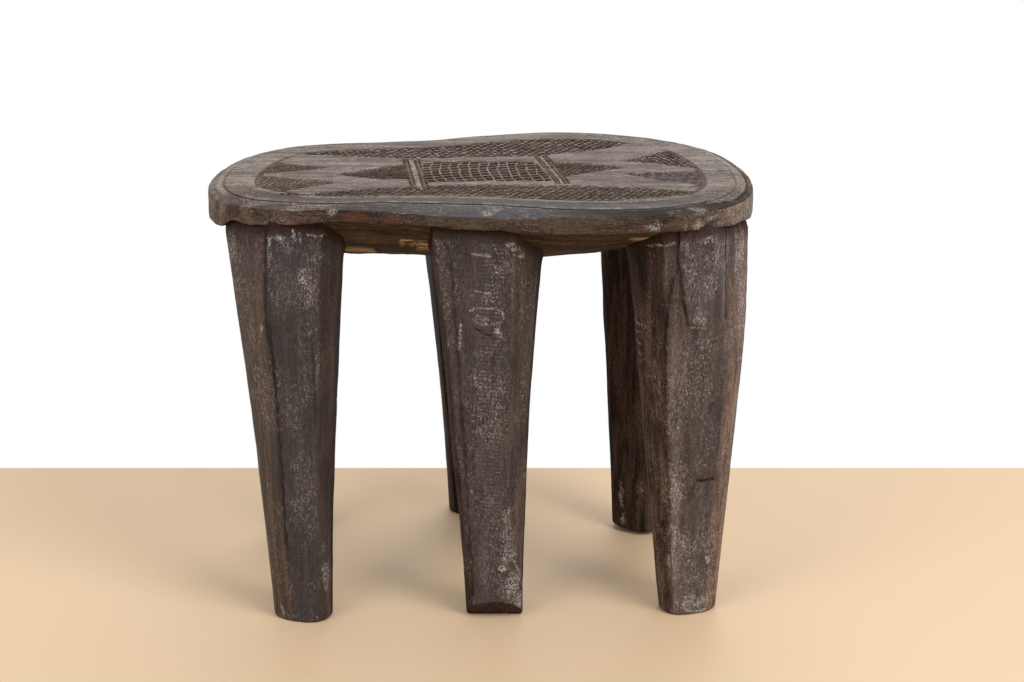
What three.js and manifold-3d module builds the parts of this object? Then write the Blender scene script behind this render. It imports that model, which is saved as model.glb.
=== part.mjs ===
// Carved stool: a waisted oval seat on six tapering legs, all hewn from one block of wood.
// Millimetres, +Z up, the floor at z = 0, the long axis along X and the front towards -Y.

import * as THREE from 'three';
import { mergeVertices } from 'three/addons/utils/BufferGeometryUtils.js';
import Module from 'manifold-3d';

const wasm = await Module();
wasm.setup();

// Overall sizes
const seatLength = 418;
const seatDepth = 323;
const stoolHeight = 330;

// Sloping edge band round the top of the seat
const bevelWidth = 15;
const bevelDropEnds = 3.5;
const bevelDropFront = 4;

// Upright face of the rim, and the narrow lip under it
const rimFaceFront = 12;
const rimFaceEnds = 19;
const rimLip = 5;

// Rounded underside: how far it hangs below the lip, how full its curve is, and its lowest
// place, as shares of half the seat's length and depth
const bellyDepth = 45;
const bellyFullness = 2.6;
const bellyCentre = [-0.3, 0];

// Groove, plain border and sunk fields of the carved top
const grooveWidth = 2.4;
const grooveDepth = 1.4;
const borderWidthEnds = 20;
const borderWidthFront = 31;
const borderWidthBack = 23;
const fieldDepth = 1.8;
const cordWidth = 2.8;
const cordGroove = 2;

// Main ribs left standing in the sunk fields: how far apart, how wide and how high they are
const ribSpacing = 34;
const ribWidth = 3;
const ribHeight = 0.9;

// Legs: the width across the outer face, the thickness as a share of it, and how blunt the
// oval is, with 1 for a true oval
const footWidth = 45;
const middleWidth = 63;
const headWidth = 91;
const legThickness = 0.75;
const legBluntness = 0.8;

// Legs: how far the outer faces stop short of the rim and spread towards the floor, and the
// hairline between a leg and the seat
const legInset = 3.5;
const legSpread = 16;
const seatGap = 0.35;

// Feet: worn edge, how far the short leg stops above the floor, and the slanting cut
const footRounding = 2;
const shortLegLift = 3;
const slantDepth = 13;
const slantHeight = 15;

// Steps of the faceted surfaces
const edgeSteps = 96;
const legSides = 14;
const legSteps = 8;
const bellyRings = [0.3, 0.5, 0.68, 0.83, 0.93];
const rimCurveDivisions = 400;

// How far a cutting body runs past the face that it cuts
const overrun = 1;

// Plan of the rim, as shares of half the seat's length and depth, anticlockwise from +X
const rimPlan = [
  [1.00, -0.15], [0.955, 0.26], [0.86, 0.59], [0.635, 0.87], [0.31, 1.00], [0.00, 0.905],
  [-0.20, 0.79], [-0.40, 0.735], [-0.62, 0.685], [-0.80, 0.56], [-0.93, 0.30],
  [-1.00, -0.15], [-0.965, -0.51], [-0.83, -0.73], [-0.62, -0.835], [-0.35, -0.86],
  [0.00, -0.92], [0.35, -0.995], [0.62, -0.965], [0.85, -0.80], [0.97, -0.53],
];

// Legs: foot and head as shares of half the seat's length and depth, the way the outer face
// looks in degrees, its girth at foot, middle and head as shares of the named widths, and
// what the carver left uneven: a foot that stops short of the floor, or one cut at a slant
const legs = [
  {
    name: 'leg_front_left', foot: [-0.661, -0.70], head: [-0.700, -0.60], facing: -112,
    girth: [1.02, 1.02, 1.03],
  },
  {
    name: 'leg_front_middle', foot: [0.050, -0.68], head: [0.020, -0.69], facing: -94,
    girth: [0.98, 0.95, 0.97], slanted: true,
  },
  {
    name: 'leg_front_right', foot: [0.772, -0.61], head: [0.752, -0.63], facing: -66,
    girth: [1.00, 1.16, 1.10],
  },
  {
    name: 'leg_back_left', foot: [-0.745, 0.42], head: [-0.700, 0.38], facing: 128,
    girth: [0.96, 0.90, 0.86],
  },
  {
    name: 'leg_back_middle', foot: [-0.048, 0.73], head: [-0.066, 0.63], facing: 96,
    girth: [0.96, 0.95, 0.99],
  },
  {
    name: 'leg_back_right', foot: [0.628, 0.44], head: [0.638, 0.54], facing: 50,
    girth: [0.98, 0.98, 0.95], lift: shortLegLift,
  },
];

// Carved fields: outline, as shares of half the seat's length and depth, and the directions of
// its ribs in degrees; the two long fields run out past the panel and are cut off by its edge
const fields = [
  {
    outline: [[-0.78, 0.31], [-0.30, 0.235], [0.24, 0.30], [0.48, 0.46], [0.62, 0.66], [0.5, 1.1],
      [-0.9, 1.1]],
    ribs: [45, -45],
  },
  {
    outline: [[-0.66, -0.60], [-0.29, -0.47], [-0.14, -0.375], [0.30, -0.375], [0.50, -0.43],
      [0.74, -0.54], [0.7, -1.1], [-0.7, -1.1]],
    ribs: [45, -45],
  },
  { outline: [[-0.225, 0.085], [0.215, 0.135], [0.265, -0.305], [-0.18, -0.335]], ribs: [12, -78] },
  { outline: [[-0.553, -0.16], [-0.305, 0.085], [-0.265, -0.28]], ribs: [45] },
  { outline: [[0.555, -0.01], [0.27, 0.135], [0.315, -0.195]], ribs: [12] },
  { outline: [[-0.545, 0.015], [-0.9, 0.20], [-0.9, -0.17]], ribs: [-45] },
  { outline: [[-0.505, -0.325], [-0.9, -0.20], [-0.75, -0.62]], ribs: [45] },
  { outline: [[0.545, 0.16], [0.72, 0.46], [0.9, -0.03]], ribs: [-45] },
  { outline: [[0.53, -0.145], [0.9, -0.05], [0.9, -0.5], [0.73, -0.375]], ribs: [45] },
];

// Cord bands: the two ends of each band's middle line, in the same shares, and the width
// between its two strands
const cordBands = [
  { ends: [[-0.275, 0.18], [-0.225, -0.45]], gap: 6.6 },
  { ends: [[0.23, 0.28], [0.305, -0.36]], gap: 3.8 },
];

function closedShell(rings, bottom, top) {
  const count = rings[0].length;
  const points = [bottom, ...rings.flat(), top];
  const topIndex = points.length - 1;
  const faces = [];
  const at = (ring, step) => 1 + ring * count + (step % count);
  for (let step = 0; step < count; step += 1) {
    faces.push(0, at(0, step + 1), at(0, step));
    for (let ring = 0; ring + 1 < rings.length; ring += 1) {
      faces.push(at(ring, step), at(ring, step + 1), at(ring + 1, step + 1));
      faces.push(at(ring, step), at(ring + 1, step + 1), at(ring + 1, step));
    }
    faces.push(topIndex, at(rings.length - 1, step), at(rings.length - 1, step + 1));
  }
  const geometry = new THREE.BufferGeometry().setFromPoints(points);
  geometry.setIndex(faces);
  return geometry;
}

function solidFrom(geometry) {
  const bare = geometry.clone();
  bare.deleteAttribute('normal');
  bare.deleteAttribute('uv');
  const merged = mergeVertices(bare);
  return new wasm.Manifold(new wasm.Mesh({
    numProp: 3,
    vertProperties: new Float32Array(merged.attributes.position.array),
    triVerts: new Uint32Array(merged.index.array),
  }));
}

function geometryFrom(solid) {
  const mesh = solid.getMesh();
  const geometry = new THREE.BufferGeometry();
  geometry.setAttribute('position', new THREE.BufferAttribute(new Float32Array(mesh.vertProperties), 3));
  geometry.setIndex(new THREE.BufferAttribute(new Uint32Array(mesh.triVerts), 1));
  return geometry;
}

function namedMesh(name, solid, material) {
  const mesh = new THREE.Mesh(geometryFrom(solid), material);
  mesh.name = name;
  return mesh;
}

function planPoint([along, across]) {
  return new THREE.Vector2(along * seatLength / 2, across * seatDepth / 2);
}

// Rim curve, with its outward normal at even steps
const rimCurve = new THREE.CatmullRomCurve3(
  rimPlan.map((share) => new THREE.Vector3(...planPoint(share), 0)), true, 'centripetal',
);
rimCurve.arcLengthDivisions = rimCurveDivisions;
const rimStations = [];
for (let step = 0; step < edgeSteps; step += 1) {
  const tangent = rimCurve.getTangentAt(step / edgeSteps);
  rimStations.push({
    point: rimCurve.getPointAt(step / edgeSteps),
    normal: new THREE.Vector3(tangent.y, -tangent.x, 0).normalize(),
  });
}

// Blends a size round the rim by the way that the rim looks there
function roundRim(normal, ends, front, back) {
  const side = normal.y < 0 ? front : back;
  return ends + (side - ends) * normal.y ** 2;
}

function rimRing(inset, height) {
  return rimStations.map(({ point, normal }) => {
    const moved = point.clone().addScaledVector(normal, -inset(normal));
    moved.z = height(normal);
    return moved;
  });
}

function shrunkRing(ring, centre, share, height) {
  return ring.map((point) => {
    const moved = centre.clone().lerp(point, share);
    moved.z = height(point.z);
    return moved;
  });
}

// Seat: belly, lip, rim face, sloping edge, groove, border and panel, from the bottom up
function arrisHeight(normal) {
  return stoolHeight - roundRim(normal, bevelDropEnds, bevelDropFront, bevelDropEnds);
}

function lipHeight(normal) {
  return arrisHeight(normal) - roundRim(normal, rimFaceEnds, rimFaceFront, rimFaceFront);
}

function seatBlank() {
  const lip = rimRing(() => rimLip, lipHeight);
  const bellyBottom = stoolHeight - bevelDropEnds - rimFaceFront - bellyDepth;
  const bottom = new THREE.Vector3(...planPoint(bellyCentre), bellyBottom);
  const belly = bellyRings.map((share) => shrunkRing(lip, bottom, share, (lipZ) => (
    bellyBottom + (lipZ - bellyBottom) * share ** bellyFullness)));
  const rings = [
    ...belly,
    lip,
    rimRing(() => 0, lipHeight),
    rimRing(() => 0, arrisHeight),
    rimRing(() => bevelWidth, () => stoolHeight),
  ];
  const top = new THREE.Vector3(0, 0, stoolHeight);
  return solidFrom(closedShell(rings, bottom, top));
}

// Flat slab over a closed ring of points, from one height to another
function slab(ring, low, high) {
  const at = (height) => ring.map((point) => new THREE.Vector3(point.x, point.y, height));
  const middle = ring.reduce((sum, point) => sum.add(new THREE.Vector3(point.x, point.y, 0)),
    new THREE.Vector3()).divideScalar(ring.length);
  return solidFrom(closedShell([at(low), at(high)],
    new THREE.Vector3(middle.x, middle.y, low), new THREE.Vector3(middle.x, middle.y, high)));
}

function fieldSlab(outline, low, high) {
  const shape = new THREE.Shape(outline.map(planPoint));
  const block = new THREE.ExtrudeGeometry(shape, { depth: high - low, bevelEnabled: false });
  block.translate(0, 0, low);
  return solidFrom(block);
}

function bandSlab([start, end], offset, width, low, high) {
  const from = planPoint(start);
  const to = planPoint(end);
  const along = to.clone().sub(from);
  const block = new THREE.BoxGeometry(along.length(), width, high - low);
  block.translate(0, offset, (low + high) / 2);
  block.rotateZ(along.angle());
  block.translate((from.x + to.x) / 2, (from.y + to.y) / 2, 0);
  return solidFrom(block);
}

// Parallel bars over the whole seat, one rib spacing apart
function ribRows(degrees, low, high) {
  const bars = [];
  for (let place = -seatLength / 2; place <= seatLength / 2; place += ribSpacing) {
    const bar = new THREE.BoxGeometry(2 * seatLength, ribWidth, high - low);
    bar.translate(0, place, (low + high) / 2);
    bar.rotateZ(THREE.MathUtils.degToRad(degrees));
    bars.push(solidFrom(bar));
  }
  return wasm.Manifold.union(bars);
}

function carvedSeat(blank) {
  const above = stoolHeight + overrun;
  const grooveOuter = rimRing(() => bevelWidth, () => 0);
  const grooveInner = rimRing(() => bevelWidth + grooveWidth, () => 0);
  const groove = slab(grooveOuter, stoolHeight - grooveDepth, above)
    .subtract(slab(grooveInner, stoolHeight - grooveDepth - overrun, above + overrun));
  const panelInset = (normal) => bevelWidth + grooveWidth
    + roundRim(normal, borderWidthEnds, borderWidthFront, borderWidthBack);
  const panel = slab(rimRing(panelInset, () => 0), stoolHeight - fieldDepth, above);
  const ribTop = stoolHeight - fieldDepth + ribHeight;
  let seat = blank.subtract(groove);
  for (const { outline, ribs } of fields) {
    let pocket = fieldSlab(outline, stoolHeight - fieldDepth - overrun, above + overrun).intersect(panel);
    for (const degrees of ribs) {
      pocket = pocket.subtract(ribRows(degrees, stoolHeight - fieldDepth - overrun, ribTop));
    }
    seat = seat.subtract(pocket);
  }
  for (const { ends, gap } of cordBands) {
    for (const side of [-1, 1]) {
      const edge = side * (gap + cordWidth) / 2;
      seat = seat.subtract(
        bandSlab(ends, edge, cordWidth + 2 * cordGroove, stoolHeight - fieldDepth, above));
    }
    for (const side of [-1, 1]) {
      const edge = side * (gap + cordWidth) / 2;
      seat = seat.add(
        bandSlab(ends, edge, cordWidth, stoolHeight - fieldDepth - overrun, stoolHeight));
    }
  }
  return seat;
}

// Leg: a stack of blunt oval sections from the foot up to half the height of the rim's face
function legWidth({ girth }, share) {
  const [foot, middle, head] = [footWidth, middleWidth, headWidth].map((width, at) => width * girth[at]);
  const bend = 2 * (foot + head - 2 * middle);
  return foot + (head - foot - bend) * share + bend * share ** 2;
}

function legSection(leg, share, height, trim) {
  const foot = planPoint(leg.foot);
  const centre = foot.lerp(planPoint(leg.head), share);
  const width = legWidth(leg, share) - 2 * trim;
  const depth = legWidth(leg, share) * legThickness - 2 * trim;
  const facing = THREE.MathUtils.degToRad(leg.facing);
  const ring = [];
  for (let side = 0; side < legSides; side += 1) {
    const angle = (side + 0.5) / legSides * 2 * Math.PI;
    const blunt = (value) => Math.sign(value) * Math.abs(value) ** legBluntness;
    const out = blunt(Math.cos(angle)) * depth / 2;
    const aside = blunt(Math.sin(angle)) * width / 2;
    ring.push(new THREE.Vector3(
      centre.x + out * Math.cos(facing) - aside * Math.sin(facing),
      centre.y + out * Math.sin(facing) + aside * Math.cos(facing),
      height,
    ));
  }
  return { ring, centre };
}

function legBlank(leg) {
  const headHeight = stoolHeight - bevelDropFront - rimFaceFront / 2;
  const floorGap = leg.lift ?? 0;
  const base = floorGap + footRounding;
  const sections = [legSection(leg, 0, floorGap, footRounding)];
  for (let step = 0; step <= legSteps; step += 1) {
    const share = step / legSteps;
    sections.push(legSection(leg, share, base + (headHeight - base) * share, 0));
  }
  const first = sections[0].centre;
  const last = sections[sections.length - 1].centre;
  return solidFrom(closedShell(sections.map((section) => section.ring),
    new THREE.Vector3(first.x, first.y, floorGap), new THREE.Vector3(last.x, last.y, headHeight)));
}

// The legs' outer faces carry on the curve of the rim: this flared body trims them to it
function legEnvelope() {
  const wide = rimRing(() => legInset - legSpread, () => -overrun);
  const narrow = rimRing(() => legInset, () => stoolHeight);
  return solidFrom(closedShell([wide, narrow],
    new THREE.Vector3(0, 0, -overrun), new THREE.Vector3(0, 0, stoolHeight)));
}

// Slanting cut across the lower front edge of a foot
function slantBlock(leg) {
  const foot = planPoint(leg.foot);
  const front = foot.y - legWidth(leg, 0) * legThickness / 2;
  const block = new THREE.BoxGeometry(2 * footWidth, footWidth, footWidth);
  block.translate(0, 0, -footWidth / 2);
  block.rotateX(-Math.atan2(slantHeight, slantDepth));
  block.translate(foot.x, front + slantDepth, leg.lift ?? 0);
  return solidFrom(block);
}

function legSolid(leg, blank, envelope) {
  const shaped = legBlank(leg).intersect(envelope).subtract(blank.translate([0, 0, -seatGap]));
  return leg.slanted ? shaped.subtract(slantBlock(leg)) : shaped;
}

const topWood = () => new THREE.MeshStandardMaterial({ color: 0x5f544c, roughness: 0.62, metalness: 0 });
const legWood = () => new THREE.MeshStandardMaterial({ color: 0x463a33, roughness: 0.68, metalness: 0 });

const stool = new THREE.Group();
const blank = seatBlank();
stool.add(namedMesh('seat', carvedSeat(blank), topWood()));
const envelope = legEnvelope();
for (const leg of legs) {
  stool.add(namedMesh(leg.name, legSolid(leg, blank, envelope), legWood()));
}

export default stool;
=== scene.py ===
# Low stool carved from one block of dark hardwood: an oval seat with a carved top on six legs.
import math

import bmesh
import bpy
import numpy as np
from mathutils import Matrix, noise


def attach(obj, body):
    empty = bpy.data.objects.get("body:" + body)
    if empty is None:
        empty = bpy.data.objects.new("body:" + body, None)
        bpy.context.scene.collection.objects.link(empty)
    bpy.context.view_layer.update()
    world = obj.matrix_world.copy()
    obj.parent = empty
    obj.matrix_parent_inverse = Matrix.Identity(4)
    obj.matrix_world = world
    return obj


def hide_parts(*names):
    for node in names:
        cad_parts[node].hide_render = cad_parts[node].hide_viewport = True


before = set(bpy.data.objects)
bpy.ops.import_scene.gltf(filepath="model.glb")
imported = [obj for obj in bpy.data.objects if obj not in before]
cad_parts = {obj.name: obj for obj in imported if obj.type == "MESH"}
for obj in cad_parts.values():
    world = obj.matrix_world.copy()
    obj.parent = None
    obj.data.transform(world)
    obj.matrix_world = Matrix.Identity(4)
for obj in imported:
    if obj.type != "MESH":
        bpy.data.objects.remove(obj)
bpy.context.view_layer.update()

# Seat: the blank
# The seat is a thick oval slab, waisted at the front and the back, hewn from the same block
# as the legs. Its top has a sloping edge, its rim is cut upright by hand, and its underside
# is rounded. All sizes are in millimetres, with the floor at zero.
HALF_LENGTH = 209.0
HALF_DEPTH = 161.5
TOP = 330.0
SLOPE_WIDTH = 15.0
GROOVE_WIDTH = 2.4
LIP_WIDTH = 5.0
SLOPE_DROP = (3.5, 4.0, 3.5)         # at the ends, at the front and at the back
FACE_HEIGHT = (19.0, 12.0, 12.0)
BORDER_WIDTH = (20.0, 31.0, 23.0)
BELLY_BOTTOM = 269.5
BELLY_CENTRE = np.array([-0.3 * HALF_LENGTH, 0.0])
BELLY_FULLNESS = 2.6
RIM_PLAN = [
    (1.00, -0.15), (0.955, 0.26), (0.86, 0.59), (0.635, 0.87), (0.31, 1.00), (0.00, 0.905),
    (-0.20, 0.79), (-0.40, 0.735), (-0.62, 0.685), (-0.80, 0.56), (-0.93, 0.30),
    (-1.00, -0.15), (-0.965, -0.51), (-0.83, -0.73), (-0.62, -0.835), (-0.35, -0.86),
    (0.00, -0.92), (0.35, -0.995), (0.62, -0.965), (0.85, -0.80), (0.97, -0.53),
]


def smooth(low, high, value):
    """0 at low, 1 at high, and an even bend between them."""
    share = np.clip((value - low) / (high - low), 0.0, 1.0)
    return share * share * (3.0 - 2.0 * share)


def wander(points, size, seed):
    """Smooth noise between about -1 and 1, with lumps of the given size."""
    moved = np.asarray(points, float) / np.asarray(size, float) + 13.7 * seed
    return np.array([noise.noise(p) for p in moved.tolist()])


def curve_through(knots):
    """Closed, evenly rounded curve through the knots, as closely spaced points."""
    gaps = np.linalg.norm(np.roll(knots, -1, 0) - knots, axis=1) ** 0.5
    share = np.linspace(0.0, 1.0, 80, endpoint=False)[:, None]
    pieces = []
    for i in range(len(knots)):
        before, start, end, after = (knots[(i + k) % len(knots)] for k in (-1, 0, 1, 2))
        g0, g1, g2 = gaps[i - 1], gaps[i], gaps[(i + 1) % len(knots)]
        leave = ((start - before) / g0 - (end - before) / (g0 + g1) + (end - start) / g1) * g1
        arrive = ((end - start) / g1 - (after - start) / (g1 + g2) + (after - end) / g2) * g1
        pieces.append(
            (2 * share ** 3 - 3 * share ** 2 + 1) * start + (share ** 3 - 2 * share ** 2 + share) * leave
            + (3 * share ** 2 - 2 * share ** 3) * end + (share ** 3 - share ** 2) * arrive
        )
    return np.concatenate(pieces)


rim_line = curve_through(np.array(RIM_PLAN) * (HALF_LENGTH, HALF_DEPTH))
rim_ends = np.concatenate([rim_line, rim_line[:1]])
rim_run = np.concatenate([[0.0], np.cumsum(np.linalg.norm(np.diff(rim_ends, axis=0), axis=1))])
RIM_LENGTH = rim_run[-1]


def on_rim(turn):
    """Points on the rim and their outward normals, for shares of a turn round it."""
    def at(share):
        run = np.mod(share, 1.0) * RIM_LENGTH
        return np.stack([np.interp(run, rim_run, rim_ends[:, k]) for k in (0, 1)], -1)
    tangent = at(turn + 0.002) - at(turn - 0.002)
    normal = np.stack([tangent[:, 1], -tangent[:, 0]], -1)
    return at(turn), normal / np.linalg.norm(normal, axis=1)[:, None]


RIM_POINTS, RIM_NORMALS = on_rim(np.linspace(0.0, 1.0, 721)[:-1])


def round_rim(normal, ends, front, back):
    """A size that changes round the rim with the way that the rim looks."""
    side = np.where(normal[:, 1] < 0, front, back)
    return ends + (side - ends) * normal[:, 1] ** 2


def arris_height(normal):
    """Height of the edge between the slope and the upright face of the rim."""
    return TOP - round_rim(normal, *SLOPE_DROP)


def lip_height(normal):
    """Height of the lower edge of the upright face."""
    return arris_height(normal) - round_rim(normal, *FACE_HEIGHT)


NARROWER_BORDER = [
    (-185, 0), (-165, 3), (-150, 7), (-130, 10.5), (-105, 11.5), (-80, 9.5), (-60, 6.5), (-35, 2), (0, 1.5),
    (60, 1.0), (100, 2), (130, 0),
]
GROOVE_DRIFT = [
    (-135, 2), (-104, 1.5), (-75, -3.5), (-50, -4.5), (-12, -6), (3, -6.5), (30, -4.5), (58, -2), (100, -1),
    (140, 0),
]


def border_width(point, normal):
    narrower = np.interp(point[:, 0], *np.transpose(NARROWER_BORDER))
    return round_rim(normal, *BORDER_WIDTH) - narrower * smooth(-0.3, -0.8, normal[:, 1])


def groove_shift(point, normal):
    """How far the groove strays towards the rim, or away from it where this is below zero."""
    left = smooth(0.25, 0.6, -normal[:, 0]) * np.where(normal[:, 1] < 0.3, 4.0, 3.0)
    middle = np.interp(point[:, 0], *np.transpose(GROOVE_DRIFT)) * smooth(-0.3, -0.8, normal[:, 1])
    return left + middle + 2.6 * smooth(0.6, 0.95, normal[:, 0])


def belly_height(plan):
    """Height of the rounded underside over points of the plan."""
    edge = RIM_POINTS - RIM_NORMALS * LIP_WIDTH - BELLY_CENTRE
    bearing = np.arctan2(edge[:, 1], edge[:, 0])
    order = np.argsort(bearing)
    spoke = plan - BELLY_CENTRE
    look = np.arctan2(spoke[:, 1], spoke[:, 0])
    reach = np.interp(look, bearing[order], np.linalg.norm(edge, axis=1)[order], period=2 * math.pi)
    lip = np.interp(look, bearing[order], lip_height(RIM_NORMALS)[order], period=2 * math.pi)
    share = np.clip(np.linalg.norm(spoke, axis=1) / reach, 0.0, 1.0)
    return BELLY_BOTTOM + (lip - BELLY_BOTTOM) * share ** BELLY_FULLNESS


# The panel is a grid, and rings go out from its edge over the border, the slope and the rim,
# and on under the seat to the middle of the belly.
ACROSS = 244      # cells of the panel from left to right
BACK = 142        # and from front to back
START = 0.601     # where the front left corner of the panel lies on the rim, as a share of a turn
AROUND = 2 * (ACROSS + BACK)
RING_STEP = 0.05  # between two rings, while the mesh is still flat
RINGS = [
    *[("border", share) for share in (0.04, 0.12, 0.22, 0.32, 0.42, 0.52, 0.62, 0.72, 0.82, 0.92, 1.0)],
    *[("groove", share) for share in (0.25, 0.75, 1.0)],
    *[("slope", share) for share in (0.1, 0.26, 0.42, 0.58, 0.74, 0.88, 0.96)],
    *[("face", share) for share in (0.0, 0.06, 0.2, 0.36, 0.52, 0.68, 0.84, 0.95)],
    *[("lip", share) for share in (0.12, 0.5, 1.0)],
    *[("belly", share) for share in (0.985, 0.97, 0.955, 0.94, 0.925, 0.91, 0.895, 0.88, 0.86, 0.84, 0.82,
                                     0.79, 0.75, 0.67, 0.58, 0.48, 0.37, 0.25, 0.12)],
]
last_ring = {name: count for count, (name, share) in enumerate(RINGS, 1)}

blank = bmesh.new()
bmesh.ops.create_grid(blank, x_segments=ACROSS, y_segments=BACK, size=1.0)
edge_loop = [e for e in blank.edges if e.is_boundary]
for ring in range(len(RINGS)):
    grown = bmesh.ops.extrude_edge_only(blank, edges=edge_loop)["geom"]
    edge_verts = [v for v in grown if isinstance(v, bmesh.types.BMVert)]
    edge_loop = [e for e in grown if isinstance(e, bmesh.types.BMEdge) and e.is_boundary]
    growth = (1 + RING_STEP * (ring + 1)) / (1 + RING_STEP * ring)
    bmesh.ops.scale(blank, vec=(growth, growth, 1.0), verts=edge_verts)
last = bmesh.ops.extrude_edge_only(blank, edges=edge_loop)["geom"]
last = [v for v in last if isinstance(v, bmesh.types.BMVert)]
bmesh.ops.pointmerge(blank, verts=last, merge_co=(0.0, 0.0, -1.0))
layout = np.array([v.co for v in blank.verts])
blank_mesh = bpy.data.meshes.new("seat_blank")
blank.to_mesh(blank_mesh)
blank.free()

size = np.maximum(np.abs(layout[:, 0]), np.abs(layout[:, 1]))
centre_point = layout[:, 2] < -0.5
ring_at = np.rint((size - 1) / RING_STEP).astype(int)
ring_at[centre_point] = len(RINGS)
in_panel = (size < 1 + RING_STEP / 2) & ~centre_point
side_x, side_y = (layout[:, :2] / np.maximum(size, 1e-9)[:, None]).T
near = 1 - 1e-4
place = np.select(
    [side_y <= -near, side_x >= near, side_y >= near],
    [(side_x + 1) / 2 * ACROSS, ACROSS + (side_y + 1) / 2 * BACK, ACROSS + BACK + (1 - side_x) / 2 * ACROSS],
    2 * ACROSS + BACK + (1 - side_y) / 2 * BACK,
)
turn = START + place / AROUND
rim_point, rim_normal = on_rim(turn)
slope_inset = SLOPE_WIDTH + GROOVE_WIDTH
panel_edge = rim_point - rim_normal * (slope_inset + border_width(rim_point, rim_normal))[:, None]


def edge_at(share_of_turn):
    point, normal = on_rim(START + share_of_turn / AROUND)
    return point - normal * (slope_inset + border_width(point, normal))[:, None]


# The grid of the panel is stretched between its four sides.
u = np.clip((layout[:, 0] + 1) / 2, 0, 1)
v = np.clip((layout[:, 1] + 1) / 2, 0, 1)
front_side = edge_at(u * ACROSS)
right_side = edge_at(ACROSS + v * BACK)
back_side = edge_at(ACROSS + BACK + (1 - u) * ACROSS)
left_side = edge_at(2 * ACROSS + BACK + (1 - v) * BACK)
corners = edge_at(np.array([0.0, ACROSS, ACROSS + BACK, 2 * ACROSS + BACK]))
U = u[:, None]
V = v[:, None]
stretched = (1 - V) * front_side + V * back_side + (1 - U) * left_side + U * right_side - (
    (1 - U) * (1 - V) * corners[0] + U * (1 - V) * corners[1] + U * V * corners[2] + (1 - U) * V * corners[3]
)

plan = np.where(in_panel[:, None], stretched, panel_edge)
height = np.full(len(plan), TOP)

# Every corner of the meshes carries two sets of four amounts that the patina reads: marks, which
# are pale smear with painted highlights on some edges, dark hollow, which is painted shade in
# grooves, lines, cracks and cuts, red-brown and bare wood, and tone, which is blue-grey cast, film
# of dust and painted sheen, lightness, which in places paints light and shade, and dullness.
PALE, HOLLOW_SHADE, RED, BARE = range(4)
CAST, DUST_AND_SHEEN, LIGHT, DULL = range(4)
# The top, its border and its slope carry much dust and high lightness: their grey dust and rubbing, and
# painted sheen of the bright surroundings.
TOP_TONE = (0.0, 1.65, 0.95, 0.85)
PANEL_TONE = (0.3, 0.6, 0.4)         # under the cuts, without its dullness
# The lip and the underside have low lightness: painted shade under the seat.
LIP_TONE = (0.0, 0.2, 0.25, 0.9)
BELLY_TONE = (0.0, 0.3, 0.3, 0.9)
marks = np.zeros((len(plan), 4))
tone = np.tile(TOP_TONE, (len(plan), 1))

# Hand-cut rim: how far its upper and lower edges stray from an even band, as place along the
# front and rise, with smaller waves all the way round
UPPER_EDGE = [
    (-205, -1), (-198, -2.4), (-190, -2.6), (-180, -1.2), (-165, -0.4), (-133, -0.6), (-122, 1.5),
    (-109, 1.9), (-79, 0.8), (-60, 0.0), (-38, -1.2), (0, -2.1), (30, -1.8), (49, 0.0), (75, 1.2),
    (113, 1.4), (135, 1.5), (165, 0.8), (185, 0.0), (205, 0.0),
]
LOWER_EDGE = [
    (-206, -2.5), (-200, -4.0), (-193, -4.0), (-190.5, -2.5), (-188, 0.2), (-184, 2.4), (-179, 1.8),
    (-175, 0.6), (-169, -0.7), (-164, 0.2), (-156, 0.9), (-141, 1.7), (-126, 2.6), (-119, 3.5), (-97, 3.9),
    (-91, 3.8), (-80, 2.7), (-69, 2.0), (-54, 3.4), (-40, 3.1), (-29, 2.0), (-18, 1.0), (15, 1.0), (26, 0.2),
    (60, -0.1), (88, 0.6), (130, 1.1), (150, 1.3), (178, 1.7), (190, 1.4), (196, 2.0), (204, 0.5),
]
along_rim = np.stack([np.cos(2 * math.pi * turn), np.sin(2 * math.pi * turn), np.zeros(len(turn))], -1)
at_front = smooth(0.2, -0.2, rim_normal[:, 1])
upper_rise = np.interp(rim_point[:, 0], *np.transpose(UPPER_EDGE)) * at_front
lower_rise = np.interp(rim_point[:, 0], *np.transpose(LOWER_EDGE)) * at_front
unmeasured = 1 - 0.75 * at_front
cut_wave = upper_rise + (wander(along_rim, 0.16, 1) * 0.8 + wander(along_rim, 0.05, 2) * 0.4) * unmeasured
lip_wave = lower_rise + (wander(along_rim, 0.13, 3) * 1.1 + wander(along_rim, 0.045, 4) * 0.4) * unmeasured
face_facet = np.abs(np.mod(turn * RIM_LENGTH / 21.0 + 0.6 * wander(along_rim, 0.2, 5), 1.0) - 0.5)
groove_share = 0.05 + 0.95 * smooth(-4.0, -9.0, rim_point[:, 1])

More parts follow.
